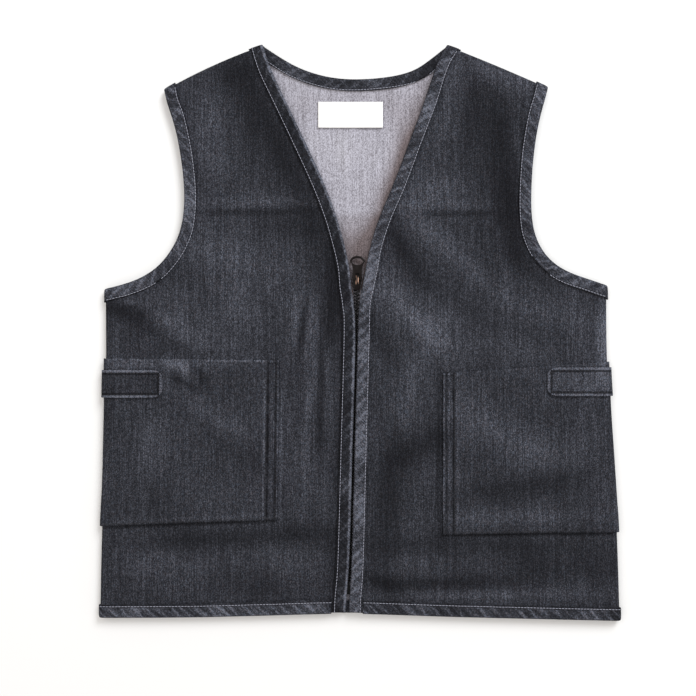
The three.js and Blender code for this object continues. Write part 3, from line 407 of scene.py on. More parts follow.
def plan_of(places):
    """Places in metres as points of the tables' plan."""
    return places[:, :2] / MM - SHIFT


def edge_distance(plan, names):
    """Distance from each point to the nearest of some edges."""
    return np.min([along_and_across(plan, EDGE_LINES[name])[1] for name in names], axis=0)


def front_lift(plan):
    """Height in millimetres, and tone, that the fronts' creases add."""
    settled = ease(edge_distance(plan, [name for name in EDGES if name != "neck"]), 7, 26)
    high, tone = marks_at(plan, FRONT_MARKS)
    high = high + 0.14 * unevenness(plan, 46, 3) + 0.07 * unevenness(plan, 17, 5)
    high = high * bpy.context.scene.vest.crease
    high = np.where(high < 0, DEEPEST * np.tanh(high / DEEPEST), high)
    return high * settled, tone + 0.025 * unevenness(plan, 60, 11)


def back_lift(plan):
    """Height in millimetres that the back's creases add inside, and tone of its wrong side."""
    settled = ease(edge_distance(plan, [name for name in EDGES if "opening" not in name]), 12, 34)
    high, tone = marks_at(plan, BACK_MARKS)
    high = high + 0.05 * (1 + unevenness(plan, 40, 21))
    high = np.maximum(high, 0) * bpy.context.scene.vest.crease
    return high * settled, tone + 0.02 * unevenness(plan, 55, 23)


# Meshes

def only(piece):
    """Selects one piece alone."""
    bpy.ops.object.select_all(action="DESELECT")
    piece.select_set(True)
    bpy.context.view_layer.objects.active = piece


def apply_all(piece):
    only(piece)
    for modifier in list(piece.modifiers):
        bpy.ops.object.modifier_apply(modifier=modifier.name)


def merged_copy(node, name):
    """A copy of a solid's mesh, its doubles merged and its triangles paired."""
    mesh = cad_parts[node].data.copy()
    mesh.materials.clear()
    mesh.name = name
    bm = bmesh.new()
    bm.from_mesh(mesh)
    bmesh.ops.remove_doubles(bm, verts=bm.verts, dist=0.002 * MM)
    limit = math.radians(40)
    bmesh.ops.join_triangles(
        bm, faces=bm.faces, angle_face_threshold=limit, angle_shape_threshold=limit)
    bm.to_mesh(mesh)
    bm.free()
    for layer in list(mesh.uv_layers):
        mesh.uv_layers.remove(layer)
    piece = bpy.data.objects.new(name, mesh)
    bpy.context.scene.collection.objects.link(piece)
    return piece


def shell(node, name, levels=3, sharp=50):
    """A finer copy of a cloth wall, smooth along its faces and square at its rims."""
    piece = merged_copy(node, name)
    bm = bmesh.new()
    bm.from_mesh(piece.data)
    layers = bm.edges.layers.float
    crease = layers.get("crease_edge") or layers.new("crease_edge")
    for edge in bm.edges:
        if edge.is_manifold and edge.calc_face_angle() > math.radians(sharp):
            edge[crease] = 1
    bm.to_mesh(piece.data)
    bm.free()
    finer = piece.modifiers.new("Finer", "SUBSURF")
    finer.levels = levels
    finer.render_levels = levels
    apply_all(piece)
    bpy.ops.object.shade_smooth_by_angle(angle=math.radians(sharp))
    return piece


def places_of(mesh):
    flat = np.empty(len(mesh.vertices) * 3, np.float32)
    mesh.vertices.foreach_get("co", flat)
    return flat.reshape(-1, 3).astype(float)


def put_places(mesh, places):
    mesh.vertices.foreach_set("co", places.astype(np.float32).ravel())
    mesh.update()


def put_tone(mesh, tone):
    layer = mesh.attributes.new("tone", "FLOAT", "POINT")
    layer.data.foreach_set("value", tone.astype(np.float32))


def put_uv(mesh, u, v):
    """A map in centimetres, from a pair of numbers for each vertex."""
    loops = np.empty(len(mesh.loops), np.int32)
    mesh.loops.foreach_get("vertex_index", loops)
    layer = mesh.uv_layers.new(name="Seam")
    layer.data.foreach_set("uv", np.column_stack([u, v])[loops].astype(np.float32).ravel() / 10)


def turn_inside(piece, upwards, finishes):
    """Gives the faces on the cloth's inside the second finish."""
    mesh = piece.data
    for finish in finishes:
        mesh.materials.append(finish)
    for face in mesh.polygons:
        inward = Vector((-face.center.x, -face.center.y, 0)).normalized()
        score = upwards * face.normal.z + face.normal.dot(inward)
        face.material_index = 1 if score > 0.2 else 0


def dress(piece, lift, tone_shift=0.0):
    """Adds creases to a shell, with their tone of wear and of painted light and shade. Gives its
    plan and that tone.
    """
    places = places_of(piece.data)
    plan = plan_of(places)
    high, tone = lift(plan)
    places[:, 2] += high * MM
    put_places(piece.data, places)
    put_tone(piece.data, tone + tone_shift)
    return plan, tone


def finish_piece(piece, slot, *nodes, finish=None, body="vest"):
    """Gives a piece its finish, the solids that it stands for and its body. Its slot is not used.
    """
    if finish:
        piece.data.materials.append(finish)
    if nodes:
        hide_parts(*nodes)
    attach(piece, body)
    return piece


# Shader maths

class Wire:
    """A socket that takes part in arithmetic."""

    def __init__(self, maker, socket):
        self.maker = maker
        self.socket = socket

    def __add__(self, other):
        return self.maker.maths("ADD", self, other)

    __radd__ = __add__

    def __mul__(self, other):
        return self.maker.maths("MULTIPLY", self, other)

    __rmul__ = __mul__

    def __sub__(self, other):
        return self.maker.maths("SUBTRACT", self, other)

    def __rsub__(self, other):
        return self.maker.maths("SUBTRACT", other, self)

    def __truediv__(self, other):
        return self.maker.maths("DIVIDE", self, other)

    def __pow__(self, other):
        return self.maker.maths("POWER", self, other)


class Finish:
    """A material under construction, with one shader."""

    def __init__(self, name):
        self.material = bpy.data.materials.new(name)
        self.material.use_nodes = True
        self.tree = self.material.node_tree
        self.tree.nodes.clear()
        self.shader = self.tree.nodes.new("ShaderNodeBsdfPrincipled")
        output = self.tree.nodes.new("ShaderNodeOutputMaterial")
        self.tree.links.new(self.shader.outputs[0], output.inputs["Surface"])

    def fill(self, socket, value):
        if isinstance(value, Wire):
            self.tree.links.new(value.socket, socket)
        elif isinstance(value, tuple) and socket.type == "RGBA":
            socket.default_value = (*value[:3], 1)
        else:
            socket.default_value = value

    def node(self, kind, settings=None, values=None, out=0):
        made = self.tree.nodes.new(kind)
        for key, value in (settings or {}).items():
            setattr(made, key, value)
        for key, value in (values or {}).items():
            self.fill(made.inputs[key], value)
        return Wire(self, made.outputs[out])

    def maths(self, kind, *values):
        return self.node("ShaderNodeMath", {"operation": kind}, dict(enumerate(values)))

    def surface(self, **values):
        for key, value in values.items():
            self.fill(self.shader.inputs[key.replace("_", " ")], value)
        return self.material

    def place(self):
        return self.node("ShaderNodeTexCoord", out="Object")

    def seam(self):
        return self.node("ShaderNodeUVMap", {"uv_map": "Seam"})

    def part(self, vector, axis):
        return self.node("ShaderNodeSeparateXYZ", values={0: vector}, out=axis)

    def join(self, x, y, z=0.0):
        return self.node("ShaderNodeCombineXYZ", values={0: x, 1: y, 2: z})

    def scaled(self, vector, x, y, z):
        values = {0: vector, 1: (x, y, z)}
        return self.node("ShaderNodeVectorMath", {"operation": "MULTIPLY"}, values)

    def noise(self, vector, scale, detail=2.0, roughness=0.5):
        values = {"Vector": vector, "Scale": scale, "Detail": detail, "Roughness": roughness}
        return self.node("ShaderNodeTexNoise", values=values, out="Fac")

    def wave(self, angle):
        return self.maths("SINE", angle)

    def swell(self, value):
        return self.maths("EXPONENT", value)

    def floor(self, value):
        return self.maths("FLOOR", value)

    def least(self, first, second):
        return self.maths("MINIMUM", first, second)

    def away(self, value, at):
        return self.maths("ABSOLUTE", value - at)

    def cell(self, column, row):
        values = {"Vector": self.join(column, row)}
        return self.node("ShaderNodeTexWhiteNoise", {"noise_dimensions": "2D"}, values)

    def tone(self):
        return self.node("ShaderNodeAttribute", {"attribute_name": "tone"}, out="Fac")

    def limit(self, value):
        return self.node("ShaderNodeClamp", values={0: value})

    def step(self, value, start, end):
        settings = {"interpolation_type": "SMOOTHSTEP"}
        values = {"Value": value, "From Min": start, "From Max": end}
        return self.node("ShaderNodeMapRange", settings, values)

    def blend(self, share, first, second, kind="MIX"):
        settings = {"data_type": "RGBA", "blend_type": kind}
        return self.node("ShaderNodeMix", settings, {0: share, 6: first, 7: second}, out=2)

    def bump(self, height, distance, strength=1.0):
        values = {"Height": height, "Distance": distance, "Strength": strength}
        return self.node("ShaderNodeBump", values=values, out="Normal")


def vest():
    return bpy.context.scene.vest


# Ways that a piece's warp runs: down the vest on its right side or its wrong side, or on the bias
OUTSIDE, INSIDE, BIAS = range(3)
# How strongly marks lighten or darken the right side, as wear and as painted light and shade
TONE_STRENGTH = 4.8
# Width of a warp thread, and lengths over which its colour changes
THREAD = 0.5 * MM
SHORT_FLOAT = 0.75 * MM
LONG_FLOAT = 22 * MM
# Wear that twill lines, streaks, slubs, flecks and slow clouds add, in this order
THREAD_WEAR = (0.1, 0.8, 0.25, 1.9, 0.3)
# Width of a binding's face in centimetres, as its map has them
BINDING_FACE = 0.96


def weave(make, turn=OUTSIDE):
    """Twill lines, warp streaks, slubs and flecks of denim, each about 0 to 1."""
    pitch = vest().twill_pitch
    place = make.place()
    x, y = make.part(place, 0), make.part(place, 1)
    if turn == BIAS:
        x, y = (x + y) * math.sqrt(0.5), (y - x) * math.sqrt(0.5)
    wander = make.noise(place, 420, 2.0)
    twill = make.wave((x * 0.9 * (-1 if turn == INSIDE else 1) + y * 0.44) * (math.tau / pitch)
                      + wander * 5) * 0.5 + 0.5
    column = make.floor(x / THREAD + wander * 1.6)
    slip = make.cell(column, 0.5)
    streak = make.cell(column, make.floor(y / LONG_FLOAT + slip * 9))
    fleck = make.cell(column, make.floor(y / SHORT_FLOAT + slip * 23 + wander * 1.2))
    slub = make.noise(make.scaled(make.join(x, y), 420, 24, 1), 1.0, 2.0)
    return twill, streak, slub, fleck


def wear_and_light_share(make, parts, marks):
    """How light the right side is, from wear and from painted light and shade: its threads, slow
    clouds and marks all multiply its level.
    """
    cloud = make.noise(make.scaled(make.place(), 60, 30, 10), 1.0, 3.0, 0.6)
    threads = -sum(THREAD_WEAR) / 2
    for part, wear in zip((*parts, cloud), THREAD_WEAR):
        threads = part * wear + threads
    return make.limit(make.swell(threads + marks) * DENIM_LEVEL)


def denim_colour(make, share):
    """Dyed warp from dark to light as its share of wear and painted light and shade sets it, with a
    few warm and bluish threads.
    """
    base = make.blend(share, tuple(vest().shade), tuple(vest().warp))
    thread = make.noise(make.scaled(make.place(), 1300, 800, 300), 1.0, 1.0)
    warm = make.step(thread, 0.54, 0.7) * 0.6
    cool = make.step(1 - thread, 0.54, 0.7) * 0.6
    base = make.blend(warm, base, (1.2, 0.98, 0.9), "MULTIPLY")
    return make.blend(cool, base, (0.85, 1.0, 1.14), "MULTIPLY")


def denim(make, parts, marks, height, depth, strength, shine=0.08):
    """The right side of the cloth, from its weave, the marks on it and its relief."""
    share = wear_and_light_share(make, parts, make.tone() * TONE_STRENGTH + marks)
    return make.surface(
        Base_Color=denim_colour(make, share), Roughness=0.95, Specular_IOR_Level=shine,
        Normal=make.bump(height, depth, strength))


def right_side():
    make = Finish("denim_right_side")
    parts = weave(make)
    twill, streak, _, fleck = parts
    height = twill * 0.35 + streak * 0.4 + fleck * 0.5
    return denim(make, parts, 0.0, height, 0.22 * MM, 0.55)


def wrong_side():
    make = Finish("denim_wrong_side")
    twill, streak, slub, fleck = weave(make, INSIDE)
    threads = twill * 0.3 + streak * 0.3 + slub * 0.35 + fleck * 0.7
    colour = make.blend(make.limit(threads - 0.26), srgb(98, 94, 100), tuple(vest().weft))
    # Negative tone paints a warm shadow, mostly where the fronts shade the back; positive tone
    # paints light towards white
    colour = make.blend(make.limit(make.tone() * -2), colour, (0.4, 0.33, 0.3), "MULTIPLY")
    colour = make.blend(make.limit(make.tone()), colour, (1, 1, 1))
    height = twill * 0.5 + streak * 0.3 + fleck * 0.5
    return make.surface(
        Base_Color=colour, Roughness=0.95, Specular_IOR_Level=0.2,
        Sheen_Weight=0.08, Sheen_Roughness=0.6, Normal=make.bump(height, 0.25 * MM, 0.5))


def binding_finish(name, lightness, slant, ruck, rim_lightness):
    """Denim on the bias: puckers slant across it, lighter on their tops and darker between, from
    wear and from painted light and shade; its rolled rim gets a painted highlight and its inner
    edge painted shade.
    """
    make = Finish(name)
    seam = make.seam()
    along, across = make.part(seam, 0), make.part(seam, 1)
    parts = weave(make, BIAS)
    _, streak, _, fleck = parts
    drift = make.noise(make.join(along * 0.8, across * 0.5), 1.0, 2.0)
    pitch = vest().pucker_pitch / (10 * MM)
    slanted = along + across * slant
    wave = (make.wave(slanted * (math.tau / pitch) + drift * 9) * 0.5 + 0.5) ** 2.4
    patches = make.noise(make.join(slanted * 2.4, across * 1.1, 3.0), 1.0, 2.0)
    patches = make.step(patches, 0.36, 0.64)
    inner = 1 - make.step(across, BINDING_FACE - 0.26, BINDING_FACE - 0.06)
    centre = make.step(across, 0.0, 0.14) * inner
    # Pucker tops lighter and hollows darker, as wear and as painted light and shade
    pucker = (wave * 0.7 + patches * 0.55) * (centre * 0.75 + 0.25)
    # Painted highlight along the rolled rim
    rim = (1 - make.step(across, 0.12, 0.28)) * rim_lightness
    # Painted shade in the groove beside the inner edge
    groove_shade = make.step(across, BINDING_FACE - 0.19, BINDING_FACE - 0.1) * 0.5
    marks = (pucker - 0.4) * ruck + rim - groove_shade + lightness
    height = pucker * 0.9 + fleck * 0.16 + streak * 0.12
    return denim(make, parts, marks, height, 0.7 * MM, 0.8, shine=0.1)


# Lines that run down each pocket beside its inner edge, over its sewn strip, lighter where worn and
# with painted shade where sunk: place and half width in centimetres, and how much lighter
STRIP_LINES = {
    "right": [(0.0, 0.1, 0.7), (0.19, 0.14, -1.2), (0.48, 0.15, 0.1), (0.8, 0.17, -1.5),
              (1.07, 0.14, 0.6)],
    "left": [(0.08, 0.1, 0.9), (0.28, 0.12, -0.6), (0.48, 0.12, 0.5), (0.83, 0.14, -1.2),
             (1.15, 0.2, 0.35)],
}


def pocket_finish(side, top_wear):
    """Denim with lines along the pocket's edges and between the stitches of its strip, with painted
    shade where it is sunk.
    The map's first number runs in from the inner edge, and its second down from the top."""
    make = Finish(f"denim_{side}_pocket")
    seam = make.seam()
    inner, top = make.part(seam, 0), make.part(seam, 1)
    parts = weave(make)
    _, streak, _, fleck = parts

    def line(value, at, half):
        return 1 - make.step(make.away(value, at), 0.0, half)

    knots = make.step(make.noise(make.scaled(make.place(), 90, 130, 10), 1.0, 1.0), 0.36, 0.62)
    lines = line(top, 0.22, 0.1) * (1 - make.step(inner, 0.75, 0.85)) * -0.7
    # Negative lines are painted shade where the strip is sunk
    for at, half, wear in STRIP_LINES[side]:
        lines = lines + line(inner, at, half) * (knots * (0.9 * wear) + 0.6 * wear)
    lines = lines + line(top, POCKET_HEM / 10, 0.1) * -0.12
    marks = (1 - make.step(top, 0.03, 0.25)) * top_wear + lines
    height = fleck * 0.12 + streak * 0.1 + lines * 0.5
    return denim(make, parts, marks, height, 0.8 * MM, 0.7)


def tab_finish(side, deep, lightness, rim_lightness):
    """Denim lighter along the rim of a tab, with painted shade along its stitching inside the rim,
    the map running in from its end and down from its top.
    """
    make = Finish(f"denim_{side}_tab")
    seam = make.seam()
    end, top = make.part(seam, 0), make.part(seam, 1)
    parts = weave(make)
    twill, streak, _, fleck = parts
    inset = make.least(make.least(end, top), deep / 10 - top)
    rim = 1 - make.step(inset, 0.14, 0.22)
    # Painted shade along the sunk line of stitching inside the rim
    sunk_shade = make.step(inset, 0.16, 0.24) * (1 - make.step(inset, 0.32, 0.42))
    marks = rim * rim_lightness - sunk_shade * 1.3 + lightness
    height = twill * 0.35 + streak * 0.4 + fleck * 0.5
    return denim(make, parts, marks, height, 0.25 * MM, 0.6)


def plain_finish(name, colour, roughness, grain_size=1200, shine=0.5):
    """A finish with a fine grain that its colour and roughness follow."""
    make = Finish(name)
    grain = make.noise(make.place(), grain_size, 2.0, 0.6)
    low = tuple(c * 0.75 for c in colour)
    high = tuple(min(c * 1.25, 1) for c in colour)
    return make.surface(
        Base_Color=make.blend(grain, low, high), Roughness=grain * 0.2 + (roughness - 0.1),
        Specular_IOR_Level=shine, Normal=make.bump(grain, 0.1 * MM, 0.6))


def metal_finish(name, highlight_lines=()):
    """Black paint, with short lines of painted highlight along the part, in a pale coppery colour:
    place across, and the ends of the line, all in millimetres."""
    make = Finish(name)
    place = make.place()
    x, y = make.part(place, 0), make.part(place, 1)
    grain = make.noise(place, 500, 2.0, 0.6)
    lighter = 0.0
    for across, start, end in highlight_lines:
        across, start, end = across + SHIFT[0], start + SHIFT[1], end + SHIFT[1]
        line = 1 - make.step(make.away(x, across * MM), 0.15 * MM, 0.55 * MM)
        begun = make.step(y, start * MM, (start + 2) * MM)
        ended = make.step(y, (end - 2) * MM, end * MM)
        lighter = line * begun * (1 - ended) + lighter
    colour = make.blend(grain, srgb(11, 7, 7), srgb(20, 14, 13))
    # The pale colour paints highlights where the slider's bridge catches the light
    if highlight_lines:
        colour = make.blend(make.limit(lighter), colour, srgb(196, 160, 140))
    return make.surface(
        Base_Color=colour, Roughness=grain * 0.15 + 0.25, Specular_IOR_Level=0.12,
        Normal=make.bump(grain, 0.02 * MM, 0.6))


def tape_finish(name, colour, pitch):
    """Plain woven tape: threads that cross, over and under."""
    make = Finish(name)
    place = make.place()
    turns = math.tau / pitch
    threads = make.wave(make.part(place, 0) * turns) * make.wave(make.part(place, 1) * turns)
    threads = threads * 0.5 + 0.5
    grain = make.noise(place, 700, 2.0)
    low = tuple(c * 0.8 for c in colour)
    shade = make.limit(threads * 0.5 + grain * 0.7)
    return make.surface(
        Base_Color=make.blend(shade, low, tuple(colour)), Roughness=0.85,
        Specular_IOR_Level=0.25, Normal=make.bump(threads + grain * 0.4, 0.08 * MM, 0.5))


# Pieces

class VEST_OT_panels(bpy.types.Operator):
    """Fronts and back, from their solids, with creases and both sides of the denim"""
    bl_idname = "vest.panels"
    bl_label = "Panels"

    def execute(self, context):
        outside, inside = right_side(), wrong_side()
        back = shell("back", "cloth_back", 2)
        plan, inner = dress(back, back_lift)
        up = np.array([vertex.normal.z for vertex in back.data.vertices])
        outer = marks_at(plan, OUTER_MARKS)[1] + 0.025 * unevenness(plan, 60, 31)
        tone = np.where(up > 0, inner, outer)
        back.data.attributes["tone"].data.foreach_set("value", tone.astype(np.float32))
        turn_inside(back, 1, (outside, inside))
        finish_piece(back, "denim", "back")
        for side, area in (("right", 0.0685), ("left", 0.0705)):
            front = shell(f"{side}_front", f"cloth_{side}_front")
            dress(front, front_lift)
            turn_inside(front, -1, (outside, inside))
            finish_piece(front, "denim", f"{side}_front")
        return {"FINISHED"}


class VEST_OT_pockets(bpy.types.Operator):
    """Patch pockets and the tabs over them"""
    bl_idname = "vest.pockets"
    bl_label = "Pockets and tabs"

    def execute(self, context):
        for side, cut in POCKETS.items():
            piece = shell(f"{side}_pocket", f"cloth_{side}_pocket")
            plan, _ = dress(piece, front_lift)
            reach = (plan[:, 0] - cut["edge"][0]) / (cut["side"] - cut["edge"][0])
            top = cut["top"][1] + (cut["top"][0] - cut["top"][1]) * reach
            down = (top - plan[:, 1]) / (cut["top"][1] - cut["foot"][1])
            edge = cut["edge"][0] + (cut["edge"][1] - cut["edge"][0]) * down
            put_uv(piece.data, np.abs(plan[:, 0] - edge), top - plan[:, 1])
            finish = pocket_finish(side, cut["lighter"])
            finish_piece(piece, "denim", f"{side}_pocket", finish=finish)
        for side, cut in TABS.items():
            piece = shell(f"{side}_tab", f"cloth_{side}_tab")
            plan, _ = dress(piece, front_lift, -0.03)
            put_uv(piece.data, np.abs(plan[:, 0] - cut["end"]), cut["top"] - plan[:, 1])
            deep = cut["top"] - cut["foot"]
            finish = tab_finish(side, deep, cut["lighter"], cut["rim"])
            finish_piece(piece, "denim", f"{side}_tab", finish=finish)
            wide = abs(cut["side"] - cut["end"])
            size = ((wide + TAB_SEAM) * MM, (deep + TAB_ROLL) * MM)
        return {"FINISHED"}


# Bindings: node, edge, the lift of the cloth under it, how much lighter it is (for the two front
# edges partly painted light and shade of how each faces the light), slant of its puckers, their
# strength, and how much lighter the rim is, as a painted highlight
BINDINGS = [
    ("right_front_edge_binding", "right_opening", front_lift, -0.6, 1.0, 1.0, 2.1),
    ("left_front_edge_binding", "left_opening", front_lift, 0.8, -1.0, 1.1, 0.1),
    ("right_armhole_binding_front", "right_armhole", front_lift, 0.4, -1.0, 1.1, 0.3),
    ("left_armhole_binding_front", "left_armhole", front_lift, 0.4, 1.0, 1.1, 0.4),
    ("right_armhole_binding_back", "right_armhole", None, 0.03, -1.0, 0.8, 0.2),
    ("left_armhole_binding_back", "left_armhole", None, 0.03, 1.0, 0.8, 0.2),
    ("back_neck_binding", "neck", None, -0.05, 1.0, 0.8, 0.2),
    ("right_hem_binding", "hem", front_lift, 0.35, 1.0, 1.3, 0.2),
    ("left_hem_binding", "hem", front_lift, 0.2, 1.0, 1.1, 0.2),
    ("back_hem_binding", "hem", None, 0.03, 1.0, 1.2, 0.2),
]


class VEST_OT_bindings(bpy.types.Operator):
    """Bias bindings of the front edges, armholes, neck and hem"""
    bl_idname = "vest.bindings"
    bl_label = "Bindings"

    def execute(self, context):
        made = {}
        for node, edge, lift, *wear in BINDINGS:
            piece = shell(node, f"cloth_{node}")
            places = places_of(piece.data)
            plan = plan_of(places)
            along, across = along_and_across(plan, EDGE_LINES[edge])
            settle = ease(across, 2.0, 5.0)
            wobble = np.column_stack([along, np.zeros(len(along))])
            swell = 0.16 * unevenness(wobble, 13, len(node)) * settle
            tone = 0.06 * unevenness(wobble, 36, len(node))
            tone = tone + marks_at(plan, EDGE_MARKS)[1]
            if lift:
                high, lighter = lift(plan)
                places[:, 2] += (high + np.maximum(swell, -0.1)) * MM
                tone = tone + 0.6 * lighter
            put_places(piece.data, places)
            put_tone(piece.data, tone)
            put_uv(piece.data, along, across)
            key = tuple(wear)
            if key not in made:
                made[key] = binding_finish(f"denim_bias_{len(made) + 1}", *key)
            finish_piece(piece, "bias_binding", node, finish=made[key])
        return {"FINISHED"}


class VEST_OT_label(bpy.types.Operator):
    """Blank woven label inside the back"""
    bl_idname = "vest.label"
    bl_label = "Label"

    def execute(self, context):
        piece = shell("label", "woven_label", 5)
        places = places_of(piece.data)
        plan = plan_of(places)
        high, _ = back_lift(plan)
        low = ease(plan[:, 1], 178, 158)
        curl = 0.5 * low * (0.6 + 0.4 * np.sin(plan[:, 0] / 9.0))
        places[:, 2] += (high + curl) * MM
        put_places(piece.data, places)
        white = tape_finish("woven_white", srgb(252, 251, 250), 0.9 * MM)
        finish_piece(piece, "woven_label", "label", finish=white)
        return {"FINISHED"}


def ease_edges(piece, width, segments):
    """Bevels the square edges of a piece."""
    edge = piece.modifiers.new("Ease", "BEVEL")
    edge.width = width
    edge.segments = segments
    edge.limit_method = "ANGLE"
    edge.angle_limit = math.radians(35)
    apply_all(piece)


def hard_piece(node, name, width):
    """A copy of a hard solid with its edges eased."""
    piece = merged_copy(node, name)
    ease_edges(piece, width, 2)
    bpy.ops.object.shade_smooth_by_angle(angle=math.radians(40))
    return piece


def zip_x(y):
    """Middle of the zip at a height of the plan."""
    line = np.array(ZIP_LINE)
    return np.interp(y, line[:, 1], line[:, 0])


def copies(name, model, transforms):
    """One mesh of many copies of a small model, each at its own place."""
    verts = places_of(model.data)
    faces = [tuple(face.vertices) for face in model.data.polygons]
    all_verts, all_faces = [], []
    for count, transform in enumerate(transforms):
        m = np.array(transform)
        all_verts.append(verts @ m[:3, :3].T + m[:3, 3])
        all_faces.extend(tuple(i + count * len(verts) for i in face) for face in faces)
    mesh = bpy.data.meshes.new(name)
    mesh.from_pydata(np.vstack(all_verts), [], all_faces)
    mesh.polygons.foreach_set("use_smooth", [True] * len(mesh.polygons))
    piece = bpy.data.objects.new(name, mesh)
    bpy.context.scene.collection.objects.link(piece)
    bpy.data.objects.remove(model)
    return piece


class VEST_OT_zip(bpy.types.Operator):
    """Zip: tapes, teeth, retainer box, slider and pull tab"""
    bl_idname = "vest.zip"
    bl_label = "Zip"

    def tooth(self):
        bpy.ops.object.select_all(action="DESELECT")
        bpy.ops.mesh.primitive_cube_add(size=1)
        tooth = bpy.context.object
        tooth.scale = Vector(TEETH["size"]) * MM
        bpy.ops.object.transform_apply(location=False, rotation=False, scale=True)
        ease_edges(tooth, 0.3 * MM, 1)
        return tooth

    def execute(self, context):
        tape = tape_finish("zip_weave", srgb(78, 62, 54), 0.7 * MM)
        black = plain_finish("black_moulding", srgb(13, 13, 15), 0.5, shine=0.2)
        for side, way, shift in (("right", -1, 0.0), ("left", 1, 0.5)):
            piece = shell(f"{side}_zip_tape", f"woven_{side}_zip_tape", 2)
            finish_piece(piece, "zip_tape", f"{side}_zip_tape", finish=tape)
            rows = int((TEETH["to"] - TEETH["from"]) / TEETH["pitch"])
            places = []
            for row in range(rows):
                y = TEETH["from"] + (row + 0.5 + shift) * TEETH["pitch"]
                x = zip_x(y) + way * TEETH["apart"] + SHIFT[0]
                places.append(Matrix.Translation(Vector((x, y + SHIFT[1], TEETH["middle"])) * MM))
            teeth = copies(f"{side}_zip_teeth", self.tooth(), places)
            finish_piece(teeth, "zip_teeth", f"{side}_zip_chain", finish=black)
        box = hard_piece("zip_box", "zip_retainer_box", 0.35 * MM)
        finish_piece(box, "zip_teeth", "zip_box", finish=black)
        slider = hard_piece("zip_slider", "zip_slider_body", 0.18 * MM)
        lighter = metal_finish("slider_metal", SLIDER_HIGHLIGHTS)
        finish_piece(slider, "zip_metal", "zip_slider", finish=lighter)
        pull = hard_piece("zip_pull", "zip_pull_tab", 0.3 * MM)
        painted = metal_finish("pull_metal")
        finish_piece(pull, "zip_metal", "zip_pull", finish=painted, body="pull_tab")
        return {"FINISHED"}


def tree_of(names):
    """Surface of some pieces, to lay stitches on."""
    verts, faces = [], []
    for name in names:
        mesh = bpy.data.objects[name].data
        start = len(verts)
        verts.extend(v.co.copy() for v in mesh.vertices)
        faces.extend([i + start for i in face.vertices] for face in mesh.polygons)
    return BVHTree.FromPolygons(verts, faces)


def run_points(line, pitch):
    """Middles and directions of stitches along a line, in millimetres."""
    reach = lengths_of(line)
    count = int(reach[-1] / pitch)
    at = (np.arange(count) + 0.5) * reach[-1] / count

    def points(shift):
        return np.column_stack([np.interp(at + shift, reach, line[:, k]) for k in (0, 1)])

    return points(0), points(0.6) - points(-0.6)


def lay_stitches(tree, line, pitch, face):
    """Places of a run of stitches on the top or the underside of a surface."""
    places = []
    middles, ways = run_points(line, pitch)
    for (x, y), (dx, dy) in zip(middles + SHIFT, ways):
        start = Vector((x * MM, y * MM, face * 0.03))
        hit, normal, _, _ = tree.ray_cast(start, Vector((0, 0, -face)))
        if hit is None or abs(normal.z) < 0.5:
            continue
        along = Vector((dx, dy, 0)).normalized()
        side = normal.cross(along).normalized()
        along = side.cross(normal)
        turn = Matrix((along, side, normal)).transposed().to_4x4()
        places.append(Matrix.Translation(hit) @ turn)
    return places


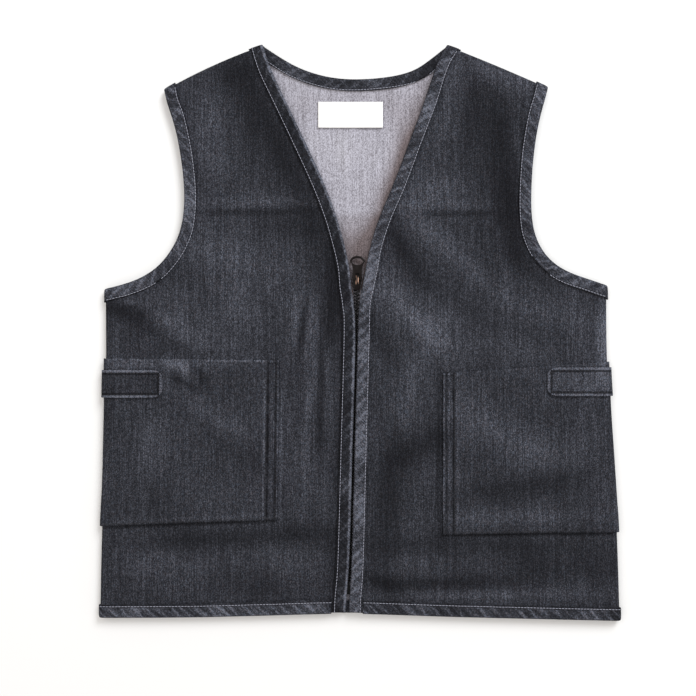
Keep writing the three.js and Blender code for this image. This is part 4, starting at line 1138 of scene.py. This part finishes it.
class VEST_OT_stitching(bpy.types.Operator):
    """Topstitching: pale thread on the bindings, dark thread on the pockets and tabs"""
    bl_idname = "vest.stitching"
    bl_label = "Stitching"

    def stitch(self, length, radius):
        length, radius = length * MM, radius * MM
        bpy.ops.object.select_all(action="DESELECT")
        bpy.ops.mesh.primitive_uv_sphere_add(segments=6, ring_count=4, radius=1)
        stitch = bpy.context.object
        bpy.ops.transform.rotate(value=math.pi / 2, orient_axis="Y", center_override=(0, 0, 0))
        bpy.ops.object.transform_apply(location=False, rotation=True, scale=True)
        stitch.scale = (length / 2, radius, radius * 0.8)
        bpy.ops.object.transform_apply(location=False, rotation=False, scale=True)
        return stitch

    def execute(self, context):
        pitch = vest().stitch_pitch / MM
        away = STITCH_LINES
        runs = []
        for side in ("right", "left"):
            for edge in ("armhole", "opening"):
                sign, _ = EDGES[f"{side}_{edge}"]
                line = offset_line(EDGE_LINES[f"{side}_{edge}"], sign * away["front"])
                kind = "armhole_binding_front" if edge == "armhole" else "front_edge_binding"
                runs.append((f"cloth_{side}_{kind}", line, 1))
                if edge == "armhole":
                    runs.append((f"cloth_{side}_armhole_binding_back", line, -1))
            hem = offset_line(EDGE_LINES["hem"], away["hem"])
            runs.append((f"cloth_{side}_hem_binding", hem, 1))
        runs.append(("cloth_back_hem_binding", offset_line(EDGE_LINES["hem"], away["front"]), -1))
        neck = offset_line(EDGE_LINES["neck"], -away["neck"])
        for face in (1, -1):
            runs.append(("cloth_back_neck_binding", neck, face))
        places = []
        for name, line, face in runs:
            places += lay_stitches(tree_of([name]), line, pitch, face)
        pale = copies("topstitching_bindings", self.stitch(*PALE_STITCH), places)
        thread = plain_finish("pale_thread", tuple(vest().thread), 0.7, 2500)
        finish_piece(pale, "bias_binding", finish=thread)

        places = []
        for side, cut in POCKETS.items():
            sign = 1 if side == "right" else -1
            tree = tree_of([f"cloth_{side}_pocket", f"cloth_{side}_tab"])
            top, foot, edge = cut["top"][1], cut["foot"][1], cut["edge"]
            lines = []
            for inset in away["pocket"]:
                shift = sign * inset
                lines.append([(edge[0] - shift, top - 1), (edge[1] - shift, foot + 1)])
            rim = away["pocket"][0]
            inner, outer = edge[0] - sign * rim, cut["side"] + sign * 2.0
            for drop, ends in ((POCKET_HEM - 1, cut["top"]), (-rim, cut["foot"])):
                lines.append([(inner, ends[1] - drop), (outer, ends[0] - drop)])
            tab, inset = TABS[side], away["tab"]
            low, high = tab["foot"] + inset, tab["top"] - inset
            start, end = tab["side"] + sign * 2.5, tab["end"] - sign * inset
            corners = [(start, low), (end, low), (end, high), (start, high)]
            lines.extend(zip(corners, corners[1:]))
            for line in lines:
                places += lay_stitches(tree, np.array(line), pitch, 1)
        dark = copies("topstitching_pockets", self.stitch(*DARK_STITCH), places)
        thread = plain_finish("dark_thread", srgb(30, 30, 35), 0.75, 2500)
        finish_piece(dark, "denim", finish=thread)
        return {"FINISHED"}


# Stage

class VEST_OT_stage(bpy.types.Operator):
    """Floor, light and camera"""
    bl_idname = "vest.stage"
    bl_label = "Stage"

    def execute(self, context):
        scene = bpy.context.scene
        bpy.ops.object.select_all(action="DESELECT")
        bpy.ops.mesh.primitive_plane_add(size=4, location=(0, 0, -0.3 * MM))
        floor = bpy.context.object
        floor.name = "floor"
        bpy.ops.object.transform_apply(location=True, rotation=True, scale=True)
        make = Finish("white_floor")
        floor.data.materials.append(make.surface(Base_Color=(0.84, 0.84, 0.84), Roughness=0.9))

        world = bpy.data.worlds.new("studio")
        scene.world = world
        world.use_nodes = True
        background = world.node_tree.nodes["Background"]
        background.inputs["Color"].default_value = SKY_COLOUR
        background.inputs["Strength"].default_value = SKY_STRENGTH

        for name, (place, size, power, colour) in LAMPS.items():
            data = bpy.data.lights.new(name, "AREA")
            data.shape = "DISK"
            data.size = size
            data.energy = power
            data.color = colour
            light = bpy.data.objects.new(name, data)
            light.location = place
            light.rotation_euler = (-Vector(place)).to_track_quat("-Z", "Y").to_euler()
            scene.collection.objects.link(light)

        data = bpy.data.cameras.new("camera")
        data.lens = 50
        data.sensor_width = 36
        data.clip_start = 0.01
        camera = bpy.data.objects.new("camera", data)
        camera.location = Vector(CAMERA_PLACE) * MM
        scene.collection.objects.link(camera)
        scene.camera = camera
        scene.view_settings.view_transform = "Standard"
        return {"FINISHED"}


OPERATORS = (
    VEST_OT_stage, VEST_OT_panels, VEST_OT_pockets, VEST_OT_bindings, VEST_OT_label, VEST_OT_zip,
    VEST_OT_stitching,
)


class VEST_PT_sidebar(bpy.types.Panel):
    """Settings and pieces of the vest"""
    bl_idname = "VEST_PT_sidebar"
    bl_label = "Denim Vest"
    bl_space_type = "VIEW_3D"
    bl_region_type = "UI"
    bl_category = "Vest"

    def draw(self, context):
        for name in VestSettings.__annotations__:
            self.layout.prop(context.scene.vest, name)
        for operator in OPERATORS:
            self.layout.operator(operator.bl_idname)


CLASSES = (VestSettings, *OPERATORS, VEST_PT_sidebar)


def register():
    for each in CLASSES:
        bpy.utils.register_class(each)
    bpy.types.Scene.vest = PointerProperty(type=VestSettings)


def unregister():
    del bpy.types.Scene.vest
    for each in reversed(CLASSES):
        bpy.utils.unregister_class(each)


def main():
    register()
    bpy.ops.vest.stage()
    bpy.ops.vest.panels()
    bpy.ops.vest.pockets()
    bpy.ops.vest.bindings()
    bpy.ops.vest.label()
    bpy.ops.vest.zip()
    bpy.ops.vest.stitching()


if __name__ == "__main__":
    main()
